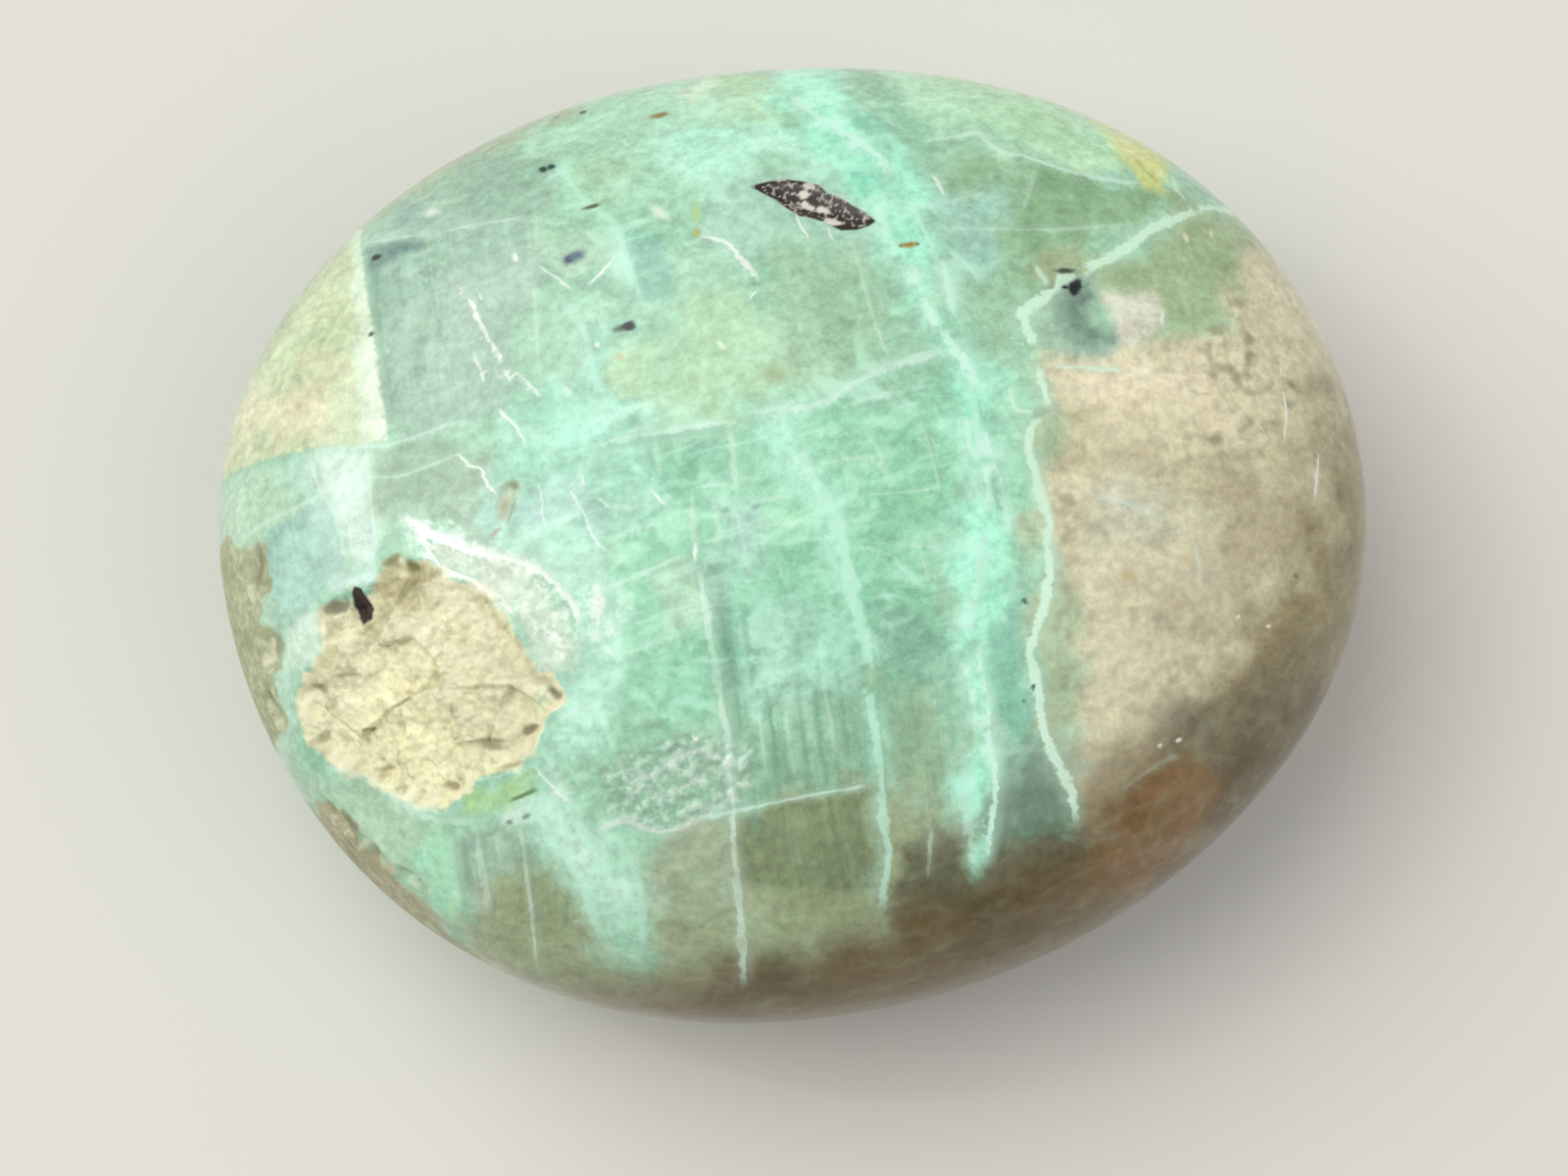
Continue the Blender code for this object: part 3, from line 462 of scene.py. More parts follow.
# Seams and brush strokes that show as lines: colour, strength of the core, strength of the
# halo, how far the halo reaches in half widths, the side that it lies on as the route runs
# (1 left, -1 right, 0 both), raggedness, how much the core is broken up, and for each seam
# its half width, its own strength and its route
SEAMS = {
    "shade_across": ("84BA9C", 0.70, 0.40, 3.0, 0, 0.9, 0.7, (
        (0.16, 0.8, ((-8.4, 1.9), (-7.0, 2.1), (-5.4, 2.15), (-3.4, 2.2), (-1.6, 2.2))),
        (0.14, 0.6, ((-6.6, -4.1), (-5.4, -3.75), (-4.5, -3.65))),
        (0.22, 0.7, ((1.3, 0.45), (1.9, 0.45), (2.6, 0.6))),
        (0.16, 0.6, ((1.5, -0.5), (2.2, -0.4))),
        (0.14, 0.7, ((-3.9, -3.2), (-3.2, -3.15), (-2.2, -2.95))),
        (0.12, 0.5, ((2.2, 2.4), (4.0, 2.5), (6.0, 2.75))),
        (0.16, 0.6, ((-10.6, -0.1), (-9.9, -0.15))),
        (0.20, 0.6, ((-10.2, -1.2), (-9.5, -1.15), (-8.8, -1.4))),
        (0.14, 0.5, ((-9.6, 1.5), (-8.9, 1.7), (-8.2, 1.8))),
        (0.14, 0.5, ((-9.2, -7.6), (-7.8, -7.8), (-6.4, -7.6))),
        (0.12, 0.5, ((2.4, -2.2), (3.8, -2.3), (5.4, -2.2))),
        (0.16, 0.5, ((3.2, -5.5), (3.9, -5.7), (4.7, -6.0))),
        (0.10, 0.6, ((8.4, 13.1), (9.4, 13.1), (11.6, 13.2))),
        (0.12, 0.5, ((13.5, 9.3), (15.0, 9.2), (16.6, 9.8))),
    )),
    "shade_upright": ("739A85", 0.65, 0.40, 3.0, 0, 1.0, 0.7, (
        (0.16, 0.9, ((-1.85, -9.6), (-1.8, -11.2), (-1.8, -13.0), (-1.85, -15.2))),
        (0.18, 0.7, ((-0.45, -9.0), (-0.4, -10.6), (-0.5, -12.6), (-0.4, -14.6))),
        (0.22, 0.8, ((-2.75, -11.6), (-2.95, -13.4), (-3.05, -16.4))),
        (0.18, 0.7, ((-3.4, -4.6), (-3.35, -7.0), (-3.2, -9.5), (-3.2, -12.0))),
        (0.16, 0.6, ((-2.5, -5.6), (-2.45, -7.6), (-2.5, -9.8))),
        (0.18, 0.6, ((-1.2, -10.6), (-1.15, -12.6), (-1.2, -14.2))),
        (0.14, 0.5, ((-1.8, -15.4), (-1.85, -17.6))),
        (0.14, 0.6, ((2.1, -8.0), (2.15, -10.4), (2.2, -12.6), (2.2, -14.6))),
        (0.16, 0.6, ((0.25, -9.6), (0.25, -11.4), (0.2, -13.8))),
        (0.14, 0.5, ((1.35, -9.0), (1.4, -11.4), (1.4, -13.6))),
        (0.18, 0.5, ((3.4, -8.0), (3.45, -9.6), (3.45, -11.0), (3.5, -13.4))),
        (0.16, 0.5, ((-16.2, -14.0), (-16.2, -15.2), (-16.25, -16.4))),
        (0.14, 0.6, ((-13.25, -14.5), (-13.25, -16.0), (-13.3, -18.4))),
        (0.12, 0.4, ((-12.2, -16.4), (-12.3, -18.6))),
        (0.14, 0.5, ((-17.75, 14.0), (-17.65, 11.0), (-17.45, 8.0), (-17.3, 5.0))),
        (0.10, 0.4, ((-15.1, 13.8), (-15.0, 11.0), (-14.6, 8.0))),
        (0.12, 0.4, ((-11.5, -10.6), (-11.5, -12.2))),
        (0.12, 0.5, ((6.7, 1.0), (6.9, -0.4), (7.0, -1.6))),
        (0.12, 0.4, ((-5.9, 2.0), (-5.8, 1.0), (-5.9, 0.0))),
        (0.12, 0.5, ((9.25, 2.6), (9.2, 1.2), (9.3, 0.2))),
        (0.10, 0.6, ((9.35, -1.4), (9.4, -2.4), (9.45, -3.2))),
    )),
    "white_vein": ("D8FBE2", 1.0, 0.45, 3.6, 0, 0.55, 0.25, (
        (0.27, 1.0, ((23.4, 12.4), (22.2, 12.1), (21.0, 11.8), (20.0, 11.2), (19.1, 10.8),
                     (18.2, 10.3), (17.5, 9.7), (16.8, 9.2), (16.0, 8.8), (15.2, 8.4),
                     (14.5, 8.05))),
        (0.30, 1.0, ((14.9, 8.25), (14.1, 7.95), (13.5, 7.5), (12.8, 7.0), (12.2, 6.55),
                     (11.7, 6.1), (11.8, 5.5), (11.95, 4.9), (12.0, 4.2), (12.1, 3.4))),
        (0.23, 1.0, ((12.05, 4.4), (12.1, 3.5), (12.15, 2.6), (12.2, 1.9), (11.95, 1.4),
                     (11.5, 0.9), (11.25, 0.4), (11.15, -0.2), (11.2, -1.0), (11.35, -2.0),
                     (11.5, -3.0), (11.6, -3.7), (11.5, -4.3), (11.35, -4.9), (11.35, -5.8),
                     (11.15, -6.6), (10.95, -7.3), (10.6, -8.0), (10.3, -8.7), (10.0, -9.3),
                     (9.95, -9.7), (10.1, -10.2), (10.15, -11.0), (10.15, -12.0),
                     (10.25, -13.0), (10.5, -13.8), (10.75, -14.5), (11.05, -15.2),
                     (11.2, -16.0), (11.2, -17.0))),
        (0.13, 0.85, ((10.65, 2.9), (10.7, 2.1), (10.8, 1.6), (11.3, 1.5), (11.9, 1.55))),
        (0.12, 0.7, ((10.8, 3.9), (11.1, 3.95))),
        (0.12, 0.75, ((12.6, 3.75), (13.2, 3.5), (14.5, 3.35), (16.1, 3.15))),
        (0.15, 0.7, ((12.55, 8.7), (12.8, 8.2), (13.1, 7.5))),
        (0.10, 0.6, ((19.9, 13.9), (20.0, 12.8), (20.3, 12.1))),
    )),
    "mint_seam": ("CBFCE5", 0.85, 0.75, 4.5, -1, 0.55, 0.45, (
        (0.34, 0.95, ((0.75, 1.2), (0.9, 0.4), (1.1, -0.3), (1.5, -1.1), (1.85, -2.0),
                      (2.1, -3.0), (2.25, -4.2), (2.35, -5.4), (2.5, -6.6), (2.6, -7.8),
                      (2.6, -9.0), (2.65, -10.4))),
        (0.20, 0.9, ((2.35, -8.6), (2.5, -9.8), (2.65, -11.0), (2.7, -12.2), (2.7, -13.6),
                     (2.65, -15.0), (2.6, -16.4), (2.6, -17.6), (2.3, -18.6), (2.0, -19.9))),
        (0.22, 0.7, ((-9.0, 17.2), (-8.4, 16.3), (-7.9, 15.2), (-7.5, 14.4), (-6.9, 13.9),
                     (-6.3, 13.0), (-6.0, 12.0), (-5.9, 10.8), (-5.6, 9.6), (-5.3, 8.6))),
        (0.20, 0.5, ((-8.3, 8.6), (-8.1, 7.0), (-7.9, 5.6), (-7.7, 4.2))),
        (0.22, 0.6, ((-13.0, -13.4), (-12.4, -14.5), (-11.7, -15.6), (-11.1, -16.8),
                     (-10.8, -18.2), (-10.3, -19.8))),
        (0.24, 0.6, ((-11.6, -13.8), (-10.7, -14.9), (-10.1, -16.2), (-9.8, -17.8),
                     (-9.7, -19.6))),
        (0.18, 0.5, ((-9.4, -14.8), (-8.9, -16.2), (-8.6, -17.8), (-8.9, -20.2))),
    )),
    "band_strand": ("D6FFEC", 1.0, 0.70, 4.0, 0, 0.7, 0.35, (
        (0.22, 0.9, ((2.5, 19.6), (3.2, 18.2), (4.2, 17.1), (5.1, 16.2), (5.9, 15.4),
                     (6.4, 14.6), (6.5, 13.6))),
        (0.16, 0.7, ((5.7, 12.8), (6.0, 11.4), (6.2, 10.2), (6.6, 8.8), (7.2, 7.4))),
        (0.24, 1.0, ((6.8, 9.4), (7.1, 8.0), (7.6, 6.6), (8.1, 5.4), (8.6, 4.4), (9.0, 3.4),
                     (9.0, 2.4))),
        (0.14, 0.7, ((7.3, 12.2), (7.7, 11.0), (8.0, 10.0), (8.5, 8.6), (8.5, 7.2),
                     (8.6, 6.0))),
        (0.12, 0.5, ((8.5, 9.9), (9.0, 9.4), (9.7, 8.6), (9.9, 7.8))),
        (0.18, 0.9, ((8.4, 1.6), (8.5, 0.8), (8.55, 0.0), (8.75, -0.7))),
        (0.13, 1.0, ((8.9, 2.2), (8.95, 0.8), (9.05, -0.8), (9.1, -2.2), (9.0, -3.4))),
        (0.13, 1.0, ((9.15, 1.4), (9.3, 0.2), (9.45, -0.8), (9.65, -1.8), (9.7, -3.0),
                     (9.75, -4.2))),
        (0.30, 0.6, ((8.6, -3.6), (8.4, -5.0), (7.9, -6.6), (7.3, -8.2), (7.2, -9.4))),
        (0.20, 0.9, ((7.15, -8.4), (7.15, -10.0), (7.3, -11.4), (7.4, -12.8))),
        (0.16, 1.0, ((7.7, -8.2), (7.7, -10.0), (7.75, -11.6), (7.65, -13.0), (7.8, -14.2),
                     (7.7, -15.4), (7.3, -16.8), (6.9, -18.4))),
        (0.26, 0.5, ((6.4, -14.2), (6.3, -15.6), (6.4, -17.0), (6.5, -18.6))),
    )),
    "green_drip": ("B6EABF", 0.85, 0.55, 3.0, 0, 0.5, 0.4, (
        (0.24, 0.9, ((-17.5, -12.6), (-17.35, -13.6), (-17.35, -15.0), (-17.25, -16.2),
                     (-17.3, -17.4))),
    )),
    "pale_upright": ("DDF8E6", 0.70, 0.35, 4.0, 0, 0.5, 0.7, (
        (0.18, 0.6, ((-18.75, 17.0), (-18.6, 14.0), (-18.45, 12.0), (-18.3, 9.0),
                     (-18.2, 6.5), (-18.1, 4.2))),
        (0.10, 0.8, ((-18.95, 10.6), (-18.8, 8.0), (-18.75, 5.0), (-18.7, 2.5),
                     (-18.7, 0.5), (-18.6, -1.3))),
        (0.12, 0.8, ((-21.5, 4.8), (-21.3, 3.5), (-21.0, 2.4), (-20.5, 1.4), (-20.2, 0.2),
                     (-20.0, -1.4))),
        (0.08, 0.5, ((-19.6, 2.3), (-19.65, 0.8), (-19.5, -1.0))),
        (0.10, 0.6, ((4.2, 11.0), (4.5, 9.9), (4.7, 8.5), (4.9, 7.0), (5.15, 5.6),
                     (5.5, 4.4))),
        (0.17, 1.0, ((-4.25, -3.9), (-4.15, -5.4), (-4.1, -7.0), (-4.0, -9.0),
                     (-3.9, -10.6), (-3.85, -12.0), (-3.95, -13.4), (-4.0, -14.8),
                     (-4.15, -16.2), (-4.2, -17.8), (-4.25, -19.2), (-4.35, -20.6),
                     (-4.6, -22.0))),
        (0.12, 0.7, ((-4.15, -0.4), (-4.2, -1.6), (-4.25, -2.8), (-4.32, -3.6))),
        (0.17, 0.7, ((-2.1, 2.4), (-2.1, 1.2), (-2.15, 0.0), (-2.15, -1.0))),
        (0.12, 0.5, ((-5.5, 2.3), (-5.5, 1.3), (-5.45, 0.3))),
        (0.14, 0.5, ((-3.2, -1.2), (-3.15, -2.2), (-3.2, -3.2))),
        (0.16, 0.5, ((-1.3, -1.9), (-1.35, -3.0), (-1.25, -4.0))),
        (0.12, 0.5, ((-2.2, -1.6), (-2.2, -2.8), (-2.1, -3.8), (-1.9, -4.9))),
        (0.12, 0.4, ((-0.9, -3.8), (-0.6, -4.8), (-0.3, -5.8))),
        (0.14, 0.5, ((4.4, 0.7), (4.45, -0.2), (4.7, -1.0), (4.85, -1.7))),
        (0.08, 0.6, ((6.35, 1.9), (6.6, 0.6), (6.8, -0.6), (6.9, -2.2))),
        (0.10, 0.5, ((5.7, -4.6), (5.8, -5.2), (5.9, -5.9))),
        (0.10, 0.8, ((-13.5, -13.9), (-13.55, -15.4), (-13.55, -17.0), (-13.65, -18.4),
                     (-13.8, -19.8))),
        (0.16, 0.6, ((-16.9, -13.8), (-16.9, -15.4), (-16.85, -17.0))),
        (0.22, 0.6, ((-15.6, -13.7), (-15.55, -15.4), (-15.5, -17.4))),
        (0.14, 0.5, ((-14.6, -14.0), (-14.7, -15.4))),
        (0.14, 0.6, ((-9.95, 14.4), (-9.9, 13.4), (-9.9, 12.4))),
        (0.10, 0.5, ((-10.3, 10.8), (-10.3, 9.0), (-10.4, 7.0), (-10.3, 5.4))),
        (0.14, 0.5, ((-3.7, 17.4), (-3.4, 16.4), (-2.9, 15.2))),
        (0.12, 0.6, ((0.7, -10.2), (0.8, -11.6), (0.8, -13.2))),
        (0.12, 0.5, ((-1.2, -10.8), (-1.15, -12.2), (-1.1, -13.8))),
        (0.12, 0.5, ((-2.3, -10.6), (-2.35, -12.0), (-2.35, -13.8))),
        (0.10, 0.6, ((4.7, -16.4), (4.5, -17.5), (4.25, -18.6))),
        (0.12, 0.5, ((13.4, 13.8), (12.9, 12.6), (12.4, 11.4))),
        (0.16, 0.5, ((13.2, 14.2), (13.6, 15.0), (14.2, 16.0), (14.9, 17.0))),
        (0.10, 0.5, ((18.0, -4.8), (18.15, -6.0), (18.1, -7.2))),
    )),
    "pale_across": ("DCFAEA", 0.75, 0.35, 4.0, 0, 0.5, 0.7, (
        (0.10, 0.6, ((-25.6, 1.5), (-24.5, 1.75), (-23.0, 2.0), (-21.0, 2.35))),
        (0.14, 0.75, ((-21.4, 4.6), (-19.5, 4.3), (-18.0, 4.0), (-16.5, 4.05),
                      (-14.8, 4.35), (-13.4, 4.2))),
        (0.09, 0.6, ((-20.3, 2.8), (-18.7, 2.65), (-17.2, 2.4), (-15.4, 2.7),
                     (-14.0, 3.0))),
        (0.12, 0.8, ((-8.9, 2.1), (-7.6, 2.3), (-6.2, 2.45), (-4.6, 2.42), (-3.0, 2.48),
                     (-1.4, 2.5))),
        (0.16, 0.6, ((-9.8, 3.2), (-8.2, 3.35), (-6.8, 3.6), (-5.4, 3.9), (-4.5, 4.25))),
        (0.14, 0.5, ((-10.6, 2.3), (-9.4, 2.55), (-8.2, 2.7))),
        (0.10, 0.6, ((-12.9, -1.75), (-11.8, -1.5), (-10.8, -1.1), (-10.0, -0.95),
                     (-9.3, -0.7))),
        (0.14, 0.5, ((-7.9, -0.6), (-6.8, -0.9), (-5.9, -0.8))),
        (0.16, 0.5, ((-8.2, -2.3), (-6.9, -1.9), (-5.6, -1.7))),
        (0.12, 0.7, ((-9.0, -4.5), (-7.6, -4.2), (-6.4, -3.85), (-5.2, -3.5), (-4.4, -3.4))),
        (0.10, 0.6, ((-4.0, -3.0), (-3.0, -2.8), (-2.0, -2.65), (-0.9, -2.55), (0.4, -2.5),
                     (1.6, -2.5))),
        (0.12, 0.5, ((-4.0, -3.6), (-2.6, -3.4), (-1.0, -3.25), (0.6, -3.3), (1.9, -3.35))),
        (0.08, 0.7, ((-4.05, -0.38), (-3.2, -0.35), (-2.4, -0.4))),
        (0.10, 0.5, ((-1.7, -1.5), (-0.6, -1.3), (0.6, -1.35))),
        (0.12, 0.4, ((-9.2, -7.2), (-8.0, -7.35), (-6.8, -7.2), (-5.4, -6.9))),
        (0.12, 0.6, ((-11.2, -9.95), (-10.6, -9.6), (-9.8, -9.3))),
        (0.10, 0.6, ((1.4, 0.08), (2.4, 0.1), (3.6, 0.08), (4.4, 0.12))),
        (0.12, 0.4, ((2.2, 1.1), (3.2, 1.3), (4.3, 1.3))),
        (0.20, 0.95, ((-1.6, 2.7), (-0.4, 2.8), (0.8, 2.72), (1.8, 2.78), (2.7, 2.95),
                      (3.4, 3.45), (4.2, 3.85), (5.2, 4.15), (6.6, 4.5), (8.0, 4.75))),
        (0.12, 0.6, ((3.0, 2.75), (4.6, 2.85), (6.2, 3.0), (7.6, 3.15))),
        (0.08, 0.5, ((2.4, 1.95), (3.6, 2.1), (5.0, 2.2), (6.8, 2.45))),
        (0.08, 0.6, ((2.2, -1.68), (3.4, -1.66), (4.6, -1.68), (5.9, -1.72), (7.0, -1.6))),
        (0.08, 0.4, ((2.6, -1.15), (3.6, -1.1))),
        (0.10, 0.6, ((2.6, -3.95), (3.6, -4.15), (4.4, -4.6), (4.9, -5.2), (5.4, -5.9),
                     (5.8, -6.5))),
        (0.12, 0.5, ((4.6, -4.1), (5.8, -4.2), (6.8, -4.6))),
        (0.12, 0.4, ((3.2, -6.4), (4.2, -6.3), (5.0, -6.7))),
        (0.08, 0.9, ((-5.6, -15.0), (-4.6, -14.9), (-3.7, -14.85), (-2.2, -14.7),
                     (0.0, -14.55), (2.4, -14.45))),
        (0.12, 0.7, ((-7.0, -15.3), (-6.0, -15.0), (-5.2, -14.6), (-4.4, -14.0))),
        (0.10, 0.8, ((-4.3, -13.1), (-3.8, -12.85), (-3.2, -12.6), (-2.7, -12.2))),
        (0.12, 0.6, ((-18.2, 14.95), (-16.6, 14.7), (-15.0, 14.4), (-12.4, 14.3),
                     (-10.0, 14.2))),
        (0.10, 0.4, ((8.0, 12.1), (9.6, 12.3), (11.0, 12.6))),
        (0.10, 0.5, ((8.4, 10.9), (11.0, 10.6), (14.0, 10.4), (17.6, 10.6))),
        (0.14, 0.9, ((8.0, 15.7), (9.6, 15.8), (10.9, 16.0), (11.4, 15.3), (12.0, 14.75),
                     (12.7, 14.6), (13.4, 14.3), (14.7, 13.7), (16.2, 13.2), (17.8, 13.0),
                     (18.5, 13.2))),
        (0.10, 0.4, ((7.2, 18.0), (9.4, 18.3), (11.2, 17.7))),
        (0.14, 0.8, ((-22.6, -9.5), (-21.0, -10.35), (-19.5, -11.45), (-18.2, -12.6),
                     (-17.2, -13.15), (-16.2, -13.4), (-15.4, -13.75))),
        (0.12, 0.25, ((13.4, -15.6), (14.4, -15.0), (15.6, -14.4), (16.4, -14.2))),
        (0.08, 0.5, ((-16.5, -1.9), (-15.0, -1.85), (-13.9, -1.9))),
        (0.12, 0.5, ((13.6, -2.6), (15.4, -3.2), (17.4, -4.2))),
    )),
    "scratch": ("F6FFF6", 0.90, 0.20, 3.5, 0, 0.8, 0.5, (
        (0.11, 1.0, ((-13.9, 11.4), (-13.45, 10.6), (-13.1, 10.0), (-13.0, 9.4),
                     (-12.5, 8.0), (-12.2, 7.2), (-11.9, 6.4), (-11.6, 5.5))),
        (0.10, 0.9, ((-11.9, 6.8), (-11.1, 5.9), (-10.8, 5.4), (-10.4, 4.9))),
        (0.07, 0.8, ((-13.3, 7.7), (-13.0, 6.4), (-12.9, 6.0))),
        (0.07, 0.8, ((-12.9, 10.8), (-12.7, 10.2))),
        (0.07, 0.9, ((-12.5, 4.8), (-12.2, 4.3), (-11.8, 3.9), (-11.6, 3.4), (-11.3, 2.8))),
        (0.08, 0.9, ((-14.6, 3.0), (-13.9, 2.2), (-13.5, 2.0), (-13.3, 1.3),
                     (-12.8, 0.6))),
        (0.11, 1.0, ((-2.5, 11.75), (-1.7, 11.5), (-1.2, 11.2), (-0.8, 10.5),
                     (-0.4, 9.9), (-0.1, 9.3), (0.0, 9.0))),
        (0.05, 0.7, ((0.0, 8.9), (-0.3, 8.5), (-0.6, 8.2))),
        (0.09, 0.9, ((-6.4, 11.3), (-7.0, 10.7), (-7.8, 10.0))),
        (0.07, 0.8, ((-10.0, 11.5), (-9.4, 10.9), (-8.9, 10.4), (-8.5, 9.9))),
        (0.05, 0.9, ((2.05, 12.4), (2.15, 11.8), (2.35, 11.3), (2.5, 10.9))),
        (0.05, 0.6, ((3.4, 11.5), (3.5, 11.0), (3.6, 10.6))),
        (0.09, 0.8, ((8.5, 13.8), (8.8, 13.1), (9.0, 12.4))),
        (0.06, 0.9, ((23.45, 3.4), (23.4, 3.1), (23.3, 2.85))),
        (0.05, 0.9, ((23.3, 2.3), (23.35, 1.2), (23.1, 0.1), (23.0, -0.5))),
        (0.06, 0.9, ((24.65, -0.7), (24.4, -1.8), (24.1, -3.0))),
        (0.05, 0.7, ((21.9, 0.5), (22.0, 0.1))),
        (0.09, 0.7, ((18.25, 6.2), (18.1, 5.6), (18.05, 5.2))),
        (0.09, 0.8, ((-12.7, -11.5), (-12.2, -12.2), (-11.6, -13.0), (-11.0, -13.6))),
        (0.06, 0.8, ((-5.9, -0.2), (-5.6, -0.7), (-5.3, -1.1))),
        (0.07, 0.8, ((-9.05, 1.0), (-8.85, 0.5))),
        (0.07, 0.7, ((-9.7, 0.8), (-9.5, 0.3), (-9.35, -0.2), (-9.1, -0.7), (-8.95, -1.2),
                     (-8.8, -1.9), (-8.5, -2.4), (-8.1, -2.9))),
        (0.07, 0.7, ((-8.4, -0.1), (-8.1, -0.5), (-7.85, -0.8))),
        (0.06, 0.6, ((-11.0, 1.0), (-10.85, 0.2), (-10.95, -0.6), (-10.8, -1.2))),
        (0.08, 0.7, ((-8.8, -6.9), (-8.6, -7.2), (-8.35, -7.5))),
    )),
    # The curved crack by the pocket is white partly of its own and partly as a painted highlight.
    "arc_crack_and_highlight": ("F4FBF2", 0.95, 0.40, 3.5, 0, 1.1, 0.45, (
        (0.17, 1.0, ((-17.6, 0.6), (-16.4, -0.3), (-15.3, -1.1), (-14.2, -1.85),
                     (-13.0, -2.3), (-12.0, -2.7), (-11.0, -3.5), (-10.3, -4.4),
                     (-9.9, -5.2), (-9.7, -6.1))),
        (0.12, 0.9, ((-15.9, -2.4), (-14.7, -2.9), (-13.9, -3.5), (-13.1, -4.3),
                     (-12.6, -5.2))),
        (0.20, 0.8, ((-8.9, -3.9), (-8.9, -5.0), (-9.1, -6.0), (-9.2, -6.9))),
        (0.13, 0.6, ((-8.8, -14.0), (-7.8, -13.1), (-7.1, -12.7), (-6.3, -12.35),
                     (-5.3, -12.1), (-4.6, -12.4), (-4.1, -12.9), (-3.95, -14.0),
                     (-4.6, -14.5), (-5.7, -15.0), (-6.6, -15.25), (-7.7, -15.15),
                     (-8.7, -14.6), (-9.7, -14.7), (-10.4, -15.0))),
        (0.12, 0.5, ((-9.1, -11.7), (-8.3, -12.7), (-7.7, -13.2), (-7.1, -13.8),
                     (-6.2, -13.6), (-5.3, -13.3), (-4.7, -12.9))),
    )),
}

# How deep a speck reaches, where its colour ends and how far out the mesh is cut finer for
# it as shares of its radius, and how ragged its edge is, in curls of some size
SPECK_DEPTH = 4.0
SPECK_EDGE = 1.15
SPECK_MARGIN = 1.6
SPECK_RAGGED = 0.30
SPECK_CURLS = 0.35

